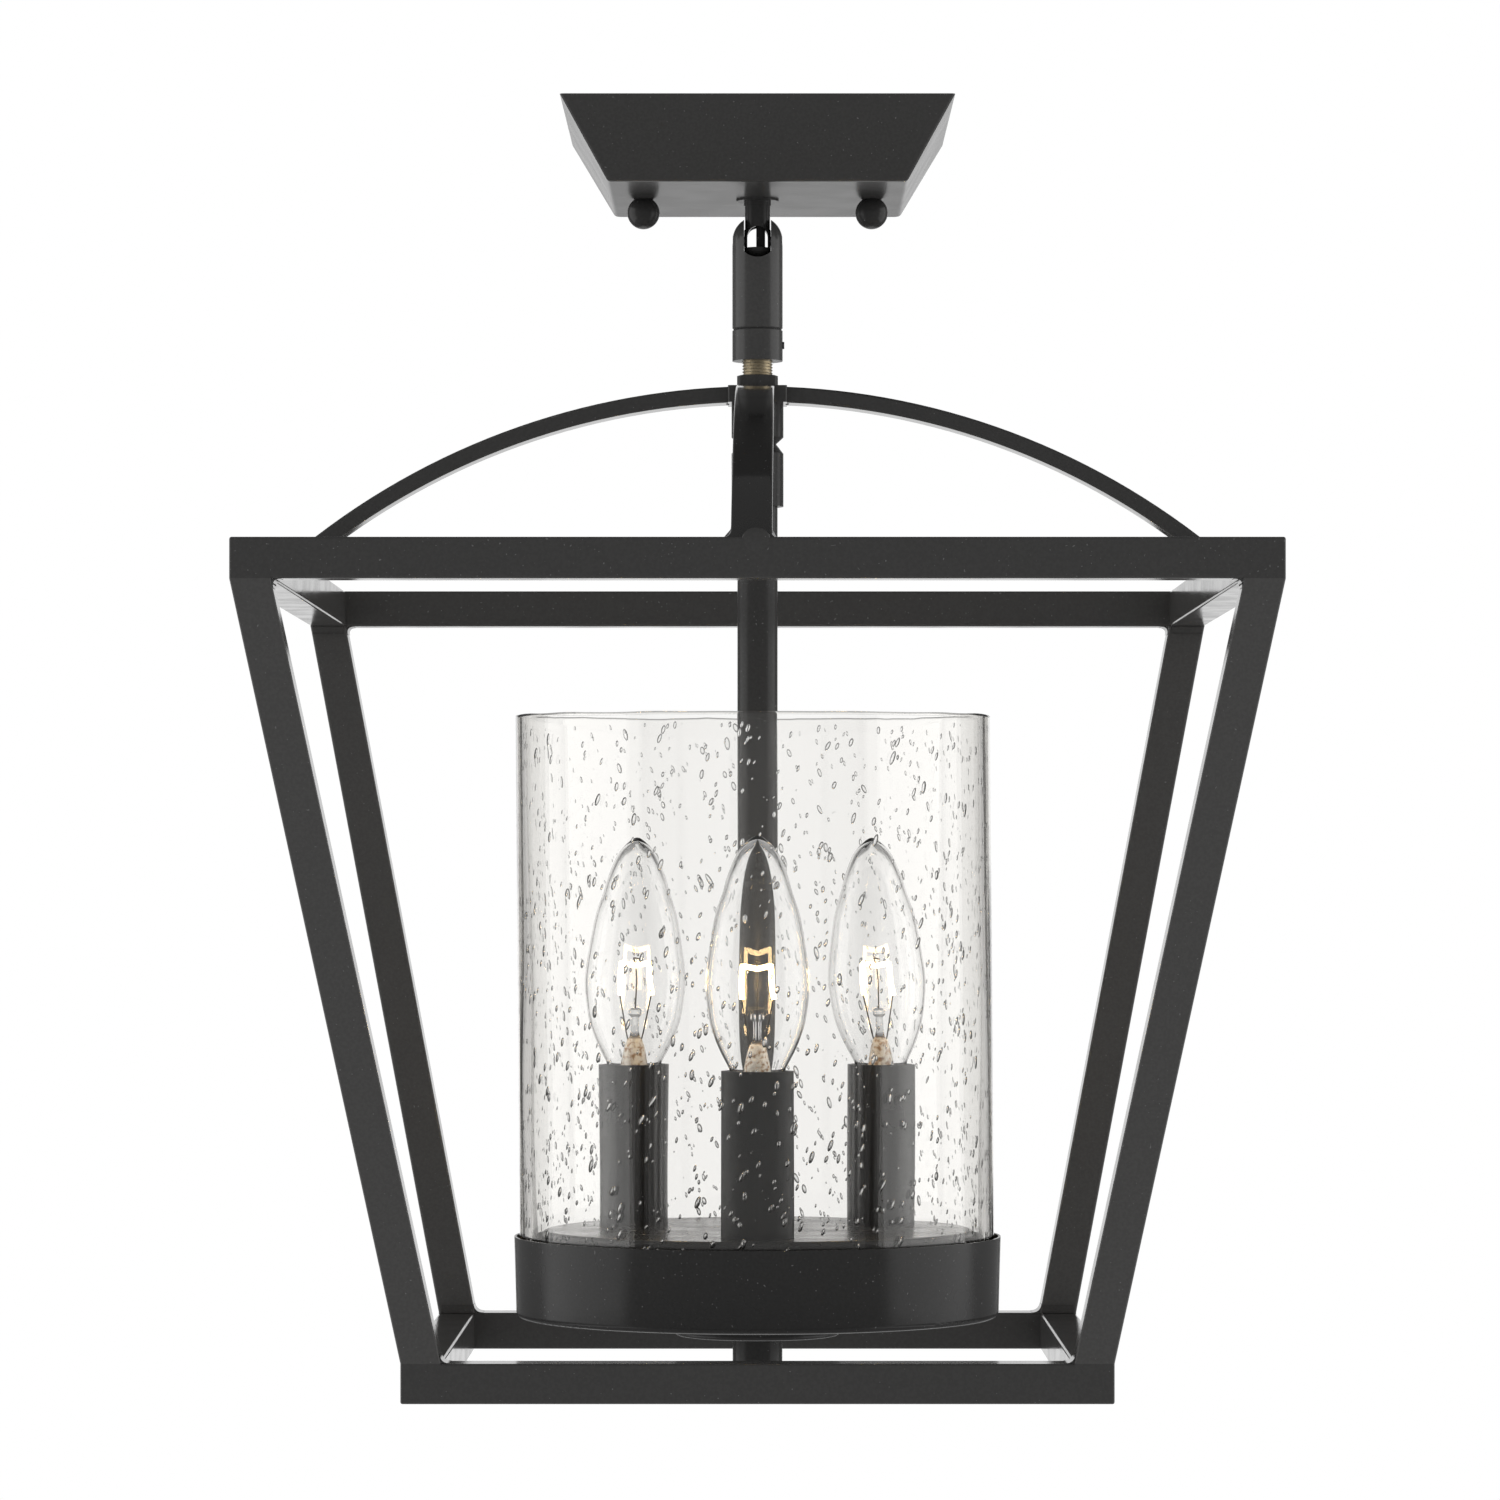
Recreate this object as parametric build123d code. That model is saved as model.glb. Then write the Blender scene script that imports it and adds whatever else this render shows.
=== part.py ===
from build123d import *
import os
from math import cos, pi, sin, sqrt

os.makedirs("parts", exist_ok=True)

# Semi flush ceiling light: a square welded cage of steel tube hangs from four flat arches,
# a turning and tilting swivel and a square canopy. Inside it a round pan holds three candle
# lamps and a loose glass cylinder. The origin is the centre of the ceiling plane, +Z is up,
# and the front, with one candle towards it, faces -Y.

# Clearances and the overrun of every cut
overrun = 1.0
running_gap = 0.05
seat_gap = 0.1
rest_gap = 0.3
lift_gap = 0.4

# Canopy, a drawn sheet box open to the ceiling
canopy_side = 120.65
canopy_face_side = 92.0
canopy_height = 25.0
canopy_wall = 1.0
canopy_corner_radius = 3.0
canopy_bend_radius = 1.2

# Crossbar on the ceiling box, and the screws that carry the canopy
crossbar_length = 106.0
crossbar_width = 16.0
crossbar_thickness = 2.5
crossbar_centre_bore = 9.9
box_screw_spacing = 88.9
box_slot_length = 10.0
box_slot_width = 4.8
canopy_screw_spacing = 72.0
canopy_screw_diameter = 4.2
screw_slot_width = 0.8
screw_slot_depth = 1.0
ball_diameter = 10.2
ball_seat_diameter = 5.8
ball_thread_depth = 5.0

# Hollow stud with the eye that the swivel hangs on
stud_diameter = 7.9
stud_bore = 5.0
stud_rise = 11.0
stud_flange_diameter = 8.5
stud_flange_height = 1.4
eye_end_radius = 5.4
eye_window_width = 6.4
eye_window_head = 4.4
eye_window_foot = 2.2
stud_washer_diameter = 13.4
stud_washer_thickness = 0.6
stud_nut_flats = 12.0
stud_nut_height = 3.6

# Swivel body, its pins and the collar that turns under it
pivot_drop = 13.1
swivel_diameter = 15.9
swivel_length = 27.9
swivel_slot_width = 8.5
swivel_slot_floor_radius = 5.75
swivel_pin_diameter = 3.0
swivel_bore = 6.0
swivel_spigot_bore = 10.1
spigot_length = 13.0
spigot_ring_drop = 2.6
snap_ring_wire = 1.0
snap_ring_bite = 0.5
seam_chamfer = 0.4
collar_height = 10.0
collar_thread_depth = 7.6
set_screw_diameter = 2.3
set_screw_proud = 0.5
set_screw_socket = 1.1
set_screw_socket_depth = 0.9

# Threaded nipple between the collar and the couplings, and its nut
nipple_diameter = 9.7
nipple_bore = 6.0
nipple_exposed = 4.6
thread_pitch = 0.94
thread_depth = 0.55
top_nipple_reach = 10.5
hub_nut_flats = 12.9
hub_nut_height = 3.7

# Hub, the four arches and the couplings under the hub
hub_side = 18.6
hub_thickness = 5.3
arch_width = 12.0
arch_thickness = 5.0
arch_rise = 56.7
arch_foot_inset = 1.9
strap_edge_radius = 0.8
coupling_diameter = 16.4
coupling_groove_depth = 2.3
upper_coupling_length = 12.6
upper_groove_height = 2.1
lower_coupling_length = 19.7
lower_groove_height = 3.0

# Welded cage of square tube
top_frame_side = 304.8
bottom_frame_side = 212.0
tube_side = 12.0
tube_wall = 1.2
tube_edge_radius = 0.8
leg_height = 230.5

# Centre stem and the long nipple that clamps cover, pan and cap to it
stem_diameter = 12.7
stem_length = 227.8
stem_socket_depth = 6.7
pan_nipple_grip = 14.0
lead_window_diameter = 4.4

# Pan, its inner cover and the cap and finial below
pan_rim_flare = 0.7
pan_height = 25.5
pan_wall = 0.7
pan_floor_thickness = 1.0
pan_corner_radius = 2.0
cover_ring_gap = 3.6
cover_height = 26.7
cover_wall = 1.0
cover_corner_radius = 1.5
cap_diameter = 52.0
cap_height = 5.9
cap_wall = 1.0
cap_corner_radius = 1.2
finial_diameter = 15.7
finial_height = 10.7
finial_thread_depth = 8.0
finial_edge_radius = 1.6

# Glass cylinder that stands in the pan round the cover
glass_diameter = 150.0
glass_wall = 3.4
glass_height = 188.5
glass_edge_radius = 1.0

# Candle sleeves and the lampholders in them
candle_count = 3
front_candle_angle = -90.0
full_turn = 360
candle_inset = 22.0
sleeve_diameter = 22.2
sleeve_wall = 1.0
sleeve_height = 51.2
holder_diameter = 16.0
holder_length = 24.6
holder_bottom_above_cover = 17.6
holder_floor = 4.0
holder_lead_bore = 3.0
shell_thickness = 0.4
shell_length = 15.0
contact_diameter = 4.0
bracket_foot_diameter = 18.6
bracket_thickness = 1.1
bracket_leg_width = 6.0
bracket_leg_grip = 10.0
holder_bolt_bore = 4.6
holder_bolt_reach = 5.0
holder_bolt_head_flats = 14.0
holder_bolt_head_height = 3.0

# Torpedo lamp: depth below the tip of each widest, and the cap below the neck
lamp_length = 97.0
lamp_tip_above_cover = 123.6
lamp_glass_length = 79.4
lamp_glass_wall = 0.7
neck_tail = 0.5
lamp_glass_diameter = 31.8
lamp_depth_shares = [0.0, 0.024, 0.069, 0.152, 0.301, 0.39, 0.52, 0.583, 0.712, 0.839, 0.912, 0.965, 1.0]
lamp_width_shares = [0.0, 0.205, 0.4, 0.572, 0.802, 0.89, 0.985, 1.0, 0.93, 0.715, 0.535, 0.435, 0.405]
lamp_cap_diameter = 11.8
lamp_cap_skirt_diameter = 13.9
lamp_cap_skirt_height = 2.4
lamp_cap_wall = 0.35
lamp_cap_length = 15.4
lamp_tip_contact_diameter = 5.4
lamp_tip_contact_height = 1.2
lamp_insulator_diameter = 9.4
lamp_thread_pitch = 2.54
lamp_thread_depth = 0.45

# Inside of the lamp: glass foot and rod, lead wires and filament
foot_diameter = 7.6
foot_height = 9.0
foot_flare_height = 2.0
rod_diameter = 2.6
rod_height = 10.4
button_diameter = 4.2
button_height = 1.8
filament_half_width = 4.7
filament_drop = 40.1
filament_leg_height = 10.5
filament_dip_share = 0.45
wire_diameter = 0.6

# Insulated lead in the stem and its three branches in the pan
lead_diameter = 2.8
lead_top_rise = 5.0
branch_diameter = 2.2
branch_start_radius = 1.0
branch_bend_radius = 7.0
branch_drop = 11.0

# Shapes
hexagon_sides = 6
quarter_turn = 90

# Widths that follow from others: the eye fills the fork's slot, the lead lies against the right
# of the stud's bore, the pan and its cover fit the glass, and the arches fit the frame
eye_diameter = swivel_slot_width - 2 * running_gap
lead_shift = (stud_bore - lead_diameter) / 2 - seat_gap
pan_floor_diameter = glass_diameter + 2 * (rest_gap + pan_wall)
pan_rim_diameter = pan_floor_diameter + 2 * pan_rim_flare
cover_diameter = glass_diameter - 2 * (glass_wall + cover_ring_gap)
candle_circle_radius = cover_diameter / 2 - candle_inset
arch_span = top_frame_side / 2 - arch_foot_inset
arch_radius = (arch_span ** 2 + arch_rise ** 2) / (2 * arch_rise)

# Levels, all counted down from the ceiling plane
canopy_face_level = -canopy_height
pivot_level = canopy_face_level - pivot_drop
seam_level = pivot_level - swivel_length
collar_foot_level = seam_level - collar_height
nut_top_level = collar_foot_level - nipple_exposed
hub_top_level = nut_top_level - hub_nut_height
hub_foot_level = hub_top_level - hub_thickness
coupling_seam_level = hub_foot_level - upper_coupling_length
coupling_foot_level = coupling_seam_level - lower_coupling_length
cover_top_level = coupling_foot_level - stem_length
pan_floor_level = cover_top_level - cover_height
pan_foot_level = pan_floor_level - pan_floor_thickness
cap_foot_level = pan_foot_level - cap_height
finial_foot_level = cap_foot_level - finial_height
top_frame_level = hub_top_level - arch_rise
leg_top_level = top_frame_level - tube_side
leg_foot_level = leg_top_level - leg_height
bottom_frame_level = leg_foot_level - tube_side
glass_foot_level = pan_floor_level + rest_gap
sleeve_top_level = cover_top_level + sleeve_height
holder_foot_level = cover_top_level + holder_bottom_above_cover
lamp_tip_level = cover_top_level + lamp_tip_above_cover
lamp_neck_level = lamp_tip_level - lamp_glass_length
lamp_foot_level = lamp_tip_level - lamp_length
branch_level = cover_top_level - branch_drop


def save(name, *solids):
    """Write one node, its pieces as separate solids."""
    shape = solids[0] if len(solids) == 1 else Compound(children=list(solids))
    export_step(shape, os.path.join("parts", name + ".step"))


def turned(points):
    """Solid of revolution about Z of a closed outline of (radius, level) points."""
    return revolve(Plane.XZ * make_face(Polyline(*points, close=True)), axis=Axis.Z)


def rod(diameter, top, foot):
    """Round bar on the Z axis between two levels."""
    return Pos(0, 0, (top + foot) / 2) * Cylinder(diameter / 2, top - foot)


def pipe(diameter, bore, top, foot):
    """Round tube on the Z axis between two levels."""
    return rod(diameter, top, foot) - rod(bore, top + overrun, foot - overrun)


def along_x(upright):
    """An upright piece laid along the X axis, its top towards +X."""
    return Rot(0, quarter_turn, 0) * upright


def along_y(upright):
    """An upright piece laid along the Y axis."""
    return Rot(quarter_turn, 0, 0) * upright


def hexagon(flats, top, foot):
    """Hexagonal bar on the Z axis between two levels, flats facing the sides."""
    outline = RegularPolygon(flats / 2, hexagon_sides, major_radius=False)
    return Pos(0, 0, foot) * extrude(outline, top - foot)


def hex_nut(flats, bore, top, foot):
    """Hexagon nut with its corners chamfered by a cone."""
    edge = flats * (1 / cos(pi / hexagon_sides) - 1) / 2
    cone = turned([
        (0, foot),
        (flats / 2, foot),
        (flats / 2 + edge, foot + edge),
        (flats / 2 + edge, top - edge),
        (flats / 2, top),
        (0, top),
    ])
    return (hexagon(flats, top, foot) & cone) - rod(bore, top + overrun, foot - overrun)


def thread_teeth(diameter, depth, pitch, top, foot):
    """Outline points of ring teeth from top to foot, flat crests at both ends."""
    count = max(1, int((top - foot) / pitch))
    first = (top + foot + count * pitch) / 2
    points = []
    for tooth in range(count):
        crest = first - tooth * pitch
        points.append((diameter / 2, crest))
        points.append((diameter / 2 - depth, crest - pitch / 2))
    points.append((diameter / 2, first - count * pitch))
    return points


def pattern_on_candles(make):
    """Three copies of one piece, made at the front candle's place and turned round the axis."""
    angles = [front_candle_angle + index * full_turn / candle_count for index in range(candle_count)]
    return [Rot(0, 0, angle) * Pos(candle_circle_radius, 0, 0) * make() for angle in angles]


# Canopy and what hangs in it


def canopy_block(side, face_side, foot, radius):
    """Solid frustum from the ceiling plane down, slanted sides and rounded corners."""
    top = RectangleRounded(side, side, radius)
    face = Pos(0, 0, foot) * RectangleRounded(face_side, face_side, radius)
    return loft([top, face], ruled=True)


def make_canopy():
    """Open sheet box with a bore for the stud and two for the canopy screws."""
    slant = (canopy_side - canopy_face_side) / 2 / canopy_height
    wall_width = canopy_wall * sqrt(1 + slant ** 2)
    block = canopy_block(canopy_side, canopy_face_side, canopy_face_level, canopy_corner_radius)
    face_edges = block.edges().filter_by(Plane.XY).group_by(Axis.Z)[0]
    block = fillet(face_edges, canopy_bend_radius)
    inner_foot = canopy_face_level + canopy_wall
    inner_side = canopy_side - 2 * wall_width
    inner_face = inner_side + 2 * slant * inner_foot
    hollow = canopy_block(inner_side, inner_face, inner_foot, canopy_corner_radius - canopy_wall)
    shell = block - hollow
    shell -= rod(stud_diameter + 2 * running_gap, 0, canopy_face_level - overrun)
    screw_bore = rod(canopy_screw_diameter + 2 * running_gap, 0, canopy_face_level - overrun)
    for side in (-1, 1):
        shell -= Pos(side * canopy_screw_spacing / 2, 0, 0) * screw_bore
    return shell


def make_crossbar():
    """Flat steel bar flush with the ceiling, slotted for the box screws."""
    outline = SlotOverall(crossbar_length, crossbar_width) - Circle(crossbar_centre_bore / 2)
    for side in (-1, 1):
        slot = SlotOverall(box_slot_length, box_slot_width)
        outline -= Pos(side * box_screw_spacing / 2, 0) * slot
        bore = Circle(canopy_screw_diameter / 2 + running_gap)
        outline -= Pos(side * canopy_screw_spacing / 2, 0) * bore
    return Pos(0, 0, -crossbar_thickness) * extrude(outline, crossbar_thickness)


def make_canopy_screws():
    """Two headless screws from the crossbar down through the canopy, slotted on top."""
    foot = canopy_face_level - ball_thread_depth
    screw = rod(canopy_screw_diameter, 0, foot)
    slot = Box(canopy_screw_diameter + overrun, screw_slot_width, 2 * screw_slot_depth)
    screw -= slot
    return [Pos(side * canopy_screw_spacing / 2, 0, 0) * screw for side in (-1, 1)]


def make_ball_nuts():
    """Two ball nuts, each cut flat where it bears on the canopy."""
    rise = sqrt(ball_diameter ** 2 - ball_seat_diameter ** 2) / 2
    ball = Pos(0, 0, canopy_face_level - rise) * Sphere(ball_diameter / 2)
    ball &= rod(2 * ball_diameter, canopy_face_level, canopy_face_level - 2 * ball_diameter)
    thread_foot = canopy_face_level - ball_thread_depth - seat_gap
    ball -= rod(canopy_screw_diameter + 2 * running_gap, canopy_face_level + overrun, thread_foot)
    return [Pos(side * canopy_screw_spacing / 2, 0, 0) * ball for side in (-1, 1)]


def make_stud():
    """Hollow stud whose round lower end is an eye with a window from front to back."""
    top = canopy_face_level + stud_rise
    eye = rod(eye_diameter, pivot_level + eye_end_radius, pivot_level - eye_end_radius)
    eye &= Pos(0, 0, pivot_level) * Sphere(eye_end_radius)
    body = rod(stud_diameter, top, pivot_level) + eye
    flange_top = canopy_face_level - stud_washer_thickness
    body += rod(stud_flange_diameter, flange_top, flange_top - stud_flange_height)
    body -= rod(stud_bore, top + overrun, pivot_level + eye_window_foot)
    head = pivot_level + eye_window_head - eye_window_width / 2
    sill = pivot_level - eye_window_foot
    window = Pos(0, 0, (head + sill) / 2) * Box(eye_window_width, 2 * stud_diameter, head - sill)
    window += Pos(0, 0, head) * along_y(Cylinder(eye_window_width / 2, 2 * stud_diameter))
    body -= window
    foot_hole = rod(lead_diameter + 2 * lift_gap, pivot_level, pivot_level - 2 * eye_end_radius)
    body -= Pos(lead_shift, 0, 0) * foot_hole
    pin_bore = Cylinder(swivel_pin_diameter / 2 + running_gap, 2 * stud_diameter)
    return body - Pos(0, 0, pivot_level) * along_x(pin_bore)


def make_stud_washer():
    """Thin washer between the canopy's face and the stud's flange."""
    foot = canopy_face_level - stud_washer_thickness
    return pipe(stud_washer_diameter, stud_diameter + 2 * running_gap, canopy_face_level, foot)


def make_stud_nut():
    """Nut inside the canopy that draws the stud up."""
    foot = canopy_face_level + canopy_wall
    return hex_nut(stud_nut_flats, stud_diameter + 2 * running_gap, foot + stud_nut_height, foot)


# Swivel


def make_swivel_body():
    """Round body with a domed fork above and a bore for the turning spigot below."""
    radius = swivel_diameter / 2
    body = rod(swivel_diameter, pivot_level, seam_level)
    foot_edges = body.edges().filter_by(GeomType.CIRCLE).group_by(Axis.Z)[0]
    body = chamfer(foot_edges, seam_chamfer)
    body += Pos(0, 0, pivot_level) * Sphere(radius)
    slot = Pos(0, 0, radius) * Box(swivel_slot_width, 2 * swivel_diameter, swivel_diameter)
    floor = along_y(Cylinder(swivel_slot_floor_radius, 2 * swivel_diameter))
    floor &= Box(swivel_slot_width, 2 * swivel_diameter, 2 * swivel_diameter)
    body -= Pos(0, 0, pivot_level) * (slot + floor)
    body -= rod(swivel_bore, pivot_level, seam_level - overrun)
    body -= rod(swivel_spigot_bore, seam_level + spigot_length + lift_gap, seam_level - overrun)
    ring_level = seam_level + spigot_length - spigot_ring_drop
    groove_bore = swivel_spigot_bore + 2 * snap_ring_bite + 2 * seat_gap
    body -= rod(groove_bore, ring_level + seat_gap, ring_level - snap_ring_wire - seat_gap)
    pin_bore = Cylinder(swivel_pin_diameter / 2 + running_gap, 2 * swivel_diameter)
    return body - Pos(0, 0, pivot_level) * along_x(pin_bore)


def make_swivel_pins():
    """Two pins, each through one ear of the fork and one cheek of the stud's eye."""
    inner = eye_window_width / 2
    outer = sqrt(swivel_diameter ** 2 - swivel_pin_diameter ** 2) / 2
    middle = (inner + outer) / 2
    pin = along_x(Cylinder(swivel_pin_diameter / 2, outer - inner))
    return [Pos(side * middle, 0, pivot_level) * pin for side in (-1, 1)]


def make_swivel_collar():
    """Collar under the seam with the spigot that turns in the swivel body."""
    body = rod(swivel_diameter, seam_level - seat_gap, collar_foot_level)
    top_edges = body.edges().filter_by(GeomType.CIRCLE).group_by(Axis.Z)[-1]
    body = chamfer(top_edges, seam_chamfer)
    spigot_diameter = swivel_spigot_bore - 2 * running_gap
    spigot_top = seam_level + spigot_length
    body += rod(spigot_diameter, spigot_top, seam_level - overrun)
    ring_level = spigot_top - spigot_ring_drop
    groove = pipe(
        swivel_diameter,
        spigot_diameter - 2 * snap_ring_bite,
        ring_level,
        ring_level - snap_ring_wire,
    )
    body -= groove
    body -= rod(nipple_bore, spigot_top + overrun, collar_foot_level - overrun)
    thread_top = collar_foot_level + collar_thread_depth
    body -= rod(nipple_diameter + 2 * running_gap, thread_top, collar_foot_level - overrun)
    screw_bore = along_x(Cylinder(set_screw_diameter / 2 + running_gap, swivel_diameter))
    return body - Pos(swivel_diameter / 2, 0, seam_level - collar_height / 2) * screw_bore


def make_snap_ring():
    """Open spring ring in the spigot's groove, which keeps the collar in the body."""
    ring_level = seam_level + spigot_length - spigot_ring_drop
    outer = swivel_spigot_bore + 2 * snap_ring_bite
    inner = swivel_spigot_bore - 2 * running_gap - 2 * snap_ring_bite
    ring = pipe(outer, inner, ring_level, ring_level - snap_ring_wire)
    gap = Pos(0, outer / 2, ring_level) * Box(2 * snap_ring_wire, outer, 2 * snap_ring_wire + overrun)
    return ring - gap


def make_set_screw():
    """Grub screw through the collar on to the nipple, with a hexagon socket."""
    inner = nipple_diameter / 2 + seat_gap
    outer = swivel_diameter / 2 + set_screw_proud
    screw = rod(set_screw_diameter, outer, inner)
    socket_foot = outer - set_screw_socket_depth
    screw -= hexagon(set_screw_socket, outer + overrun, socket_foot)
    return Pos(0, 0, seam_level - collar_height / 2) * along_x(screw)


# Hub, arches, couplings and stem


def make_top_nipple():
    """Hollow threaded nipple from the collar through nut and hub into the lower coupling."""
    top = collar_foot_level + collar_thread_depth - seat_gap
    foot = coupling_seam_level - top_nipple_reach
    teeth = thread_teeth(nipple_diameter, thread_depth, thread_pitch, collar_foot_level, nut_top_level)
    outline = [(nipple_bore / 2, top), (nipple_diameter / 2, top)]
    outline += teeth
    outline += [(nipple_diameter / 2, foot), (nipple_bore / 2, foot)]
    return turned(outline)


def make_hub_nut():
    """Nut on top of the hub."""
    bore = nipple_diameter + 2 * running_gap
    return hex_nut(hub_nut_flats, bore, nut_top_level, hub_top_level)


def make_arch_hub():
    """Square plate that the four arches are welded to, on the nipple."""
    plate = Pos(0, 0, (hub_top_level + hub_foot_level) / 2) * Box(hub_side, hub_side, hub_thickness)
    plate = fillet(plate.edges().filter_by(Axis.Z), strap_edge_radius)
    bore = nipple_diameter + 2 * running_gap
    return plate - rod(bore, hub_top_level + overrun, hub_foot_level - overrun)


def make_arch(turn):
    """Flat bar rolled to an arc from the hub's side down on to the top rail."""
    centre_level = hub_top_level - arch_radius
    reach = top_frame_side / 2
    outer = Cylinder(arch_radius, arch_width)
    inner = Cylinder(arch_radius - arch_thickness, arch_width + overrun)
    ring = Pos(0, 0, centre_level) * along_y(outer - inner)
    middle = ((hub_side / 2 + reach) / 2, (hub_top_level + top_frame_level) / 2 + overrun / 2)
    keep = Box(reach - hub_side / 2, 2 * arch_width, arch_rise + overrun)
    strap = ring & Pos(middle[0], 0, middle[1]) * keep
    long_edges = strap.edges().filter_by(GeomType.CIRCLE).filter_by(lambda edge: edge.length > arch_rise)
    return Rot(0, 0, turn) * fillet(long_edges, strap_edge_radius)


def make_coupling(top, foot, groove_top, groove_foot):
    """Turned coupling on the nipple, coned at the end that faces the other coupling."""
    radius = coupling_diameter / 2
    neck = radius - coupling_groove_depth
    outline = [
        (nipple_diameter / 2 + running_gap, top),
        (neck if groove_top else radius, top),
        (radius, top - groove_top),
        (radius, foot + groove_foot),
        (neck if groove_foot else radius, foot),
        (nipple_diameter / 2 + running_gap, foot),
    ]
    points = [point for index, point in enumerate(outline) if point != outline[index - 1]]
    return turned(points)


def make_upper_coupling():
    """Coupling that clamps the hub from below."""
    return make_coupling(hub_foot_level, coupling_seam_level, 0, upper_groove_height)


def make_lower_coupling():
    """Coupling between the nipple and the stem."""
    body = make_coupling(coupling_seam_level, coupling_foot_level, lower_groove_height, 0)
    socket = stem_diameter + 2 * running_gap
    return body - rod(socket, coupling_foot_level + stem_socket_depth, coupling_foot_level - overrun)


def make_centre_stem():
    """Steel tube from the lower coupling down to the pan's cover."""
    top = coupling_foot_level + stem_socket_depth - seat_gap
    return pipe(stem_diameter, nipple_diameter + 2 * running_gap, top, cover_top_level)


# Welded cage


def make_rail(frame_side, top, leg_side_up, turn):
    """One mitred side of a square frame of tube, square-edged where a leg meets it."""
    half = frame_side / 2
    middle = (top - tube_side / 2)
    section = Plane.YZ * RectangleRounded(tube_side, tube_side, tube_edge_radius)
    bar = Pos(-half, 0, 0) * extrude(section, frame_side)
    direction = 1 if leg_side_up else -1
    for side in (-1, 1):
        block = Box(tube_side, tube_side, tube_side / 2)
        bar += Pos(side * (half - tube_side / 2), 0, direction * tube_side / 4) * block
    inner_side = tube_side - 2 * tube_wall
    hollow = Plane.YZ * Rectangle(inner_side, inner_side)
    bar -= Pos(-half - overrun, 0, 0) * extrude(hollow, frame_side + 2 * overrun)
    bar = Pos(0, -half + tube_side / 2, middle) * bar
    mitre = Polyline(
        (-half, -half),
        (half, -half),
        (half - tube_side, -half + tube_side),
        (-half + tube_side, -half + tube_side),
        close=True,
    )
    bar &= Pos(0, 0, top - tube_side) * extrude(make_face(mitre), tube_side)
    height = tube_side + 2 * overrun
    for side in (-1, 1):
        inset = half - tube_edge_radius
        corner = Pos(side * half, -half, middle) * Box(2 * tube_edge_radius, 2 * tube_edge_radius, height)
        bar -= corner - Pos(side * inset, -inset, middle) * Cylinder(tube_edge_radius, height)
    return Rot(0, 0, turn) * bar


def leg_section(frame_side, level, side, radius):
    """Cross-section of a leg at one level, in the frame's corner."""
    middle = frame_side / 2 - tube_side / 2
    return Pos(middle, middle, level) * RectangleRounded(side, side, radius)


def make_leg(turn):
    """Tube that leans in from a corner of the top frame to the bottom frame's."""
    inner_side = tube_side - 2 * tube_wall
    inner_radius = tube_edge_radius / 2
    outer = loft([
        leg_section(top_frame_side, leg_top_level, tube_side, tube_edge_radius),
        leg_section(bottom_frame_side, leg_foot_level, tube_side, tube_edge_radius),
    ], ruled=True)
    inner = loft([
        leg_section(top_frame_side, leg_top_level, inner_side, inner_radius),
        leg_section(bottom_frame_side, leg_foot_level, inner_side, inner_radius),
    ], ruled=True)
    return Rot(0, 0, turn) * (outer - inner)


# Pan, cover, cap and finial


def make_pan():
    """Round pan with a flat floor and walls that lean out slightly."""
    rim_level = pan_foot_level + pan_height
    rim = pan_rim_diameter / 2
    foot = pan_floor_diameter / 2
    solid = turned([
        (0, pan_foot_level),
        (foot, pan_foot_level),
        (rim, rim_level),
        (0, rim_level),
    ])
    foot_edges = solid.edges().filter_by(GeomType.CIRCLE).group_by(Axis.Z)[0]
    solid = fillet(foot_edges, pan_corner_radius)
    hollow = turned([
        (0, pan_floor_level),
        (foot - pan_wall, pan_floor_level),
        (rim - pan_wall, rim_level),
        (rim - pan_wall, rim_level + overrun),
        (0, rim_level + overrun),
    ])
    bore = rod(nipple_diameter + 2 * running_gap, pan_floor_level + overrun, pan_foot_level - overrun)
    return solid - hollow - bore


def make_pan_cover():
    """Inverted cup on the pan's floor; the glass stands in the ring round it."""
    solid = rod(cover_diameter, cover_top_level, pan_floor_level)
    top_edges = solid.edges().filter_by(GeomType.CIRCLE).group_by(Axis.Z)[-1]
    solid = fillet(top_edges, cover_corner_radius)
    inner = cover_diameter - 2 * cover_wall
    hollow = rod(inner, cover_top_level - cover_wall, pan_floor_level - overrun)
    bore = rod(nipple_diameter + 2 * running_gap, cover_top_level + overrun, pan_floor_level)
    cover = solid - hollow - bore
    for candle_bore in pattern_on_candles(lambda: bore):
        cover -= candle_bore
    return cover


def make_pan_nipple():
    """Long hollow nipple from the stem through cover, pan and cap into the finial."""
    foot = cap_foot_level - finial_thread_depth + seat_gap
    body = pipe(nipple_diameter, nipple_bore, cover_top_level + pan_nipple_grip, foot)
    for index in range(candle_count):
        angle = front_candle_angle + index * full_turn / candle_count
        window = along_x(Cylinder(lead_window_diameter / 2, nipple_diameter))
        window = Rot(0, 0, angle) * Pos(nipple_diameter / 2, 0, 0) * window
        body -= Pos(0, 0, branch_level) * window
    return body


def make_pan_cap():
    """Shallow round cap under the pan, open upwards."""
    solid = rod(cap_diameter, pan_foot_level, cap_foot_level)
    foot_edges = solid.edges().filter_by(GeomType.CIRCLE).group_by(Axis.Z)[0]
    solid = fillet(foot_edges, cap_corner_radius)
    inner = cap_diameter - 2 * cap_wall
    solid -= rod(inner, pan_foot_level + overrun, cap_foot_level + cap_wall)
    return solid - rod(nipple_diameter + 2 * running_gap, pan_foot_level, cap_foot_level - overrun)


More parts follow.
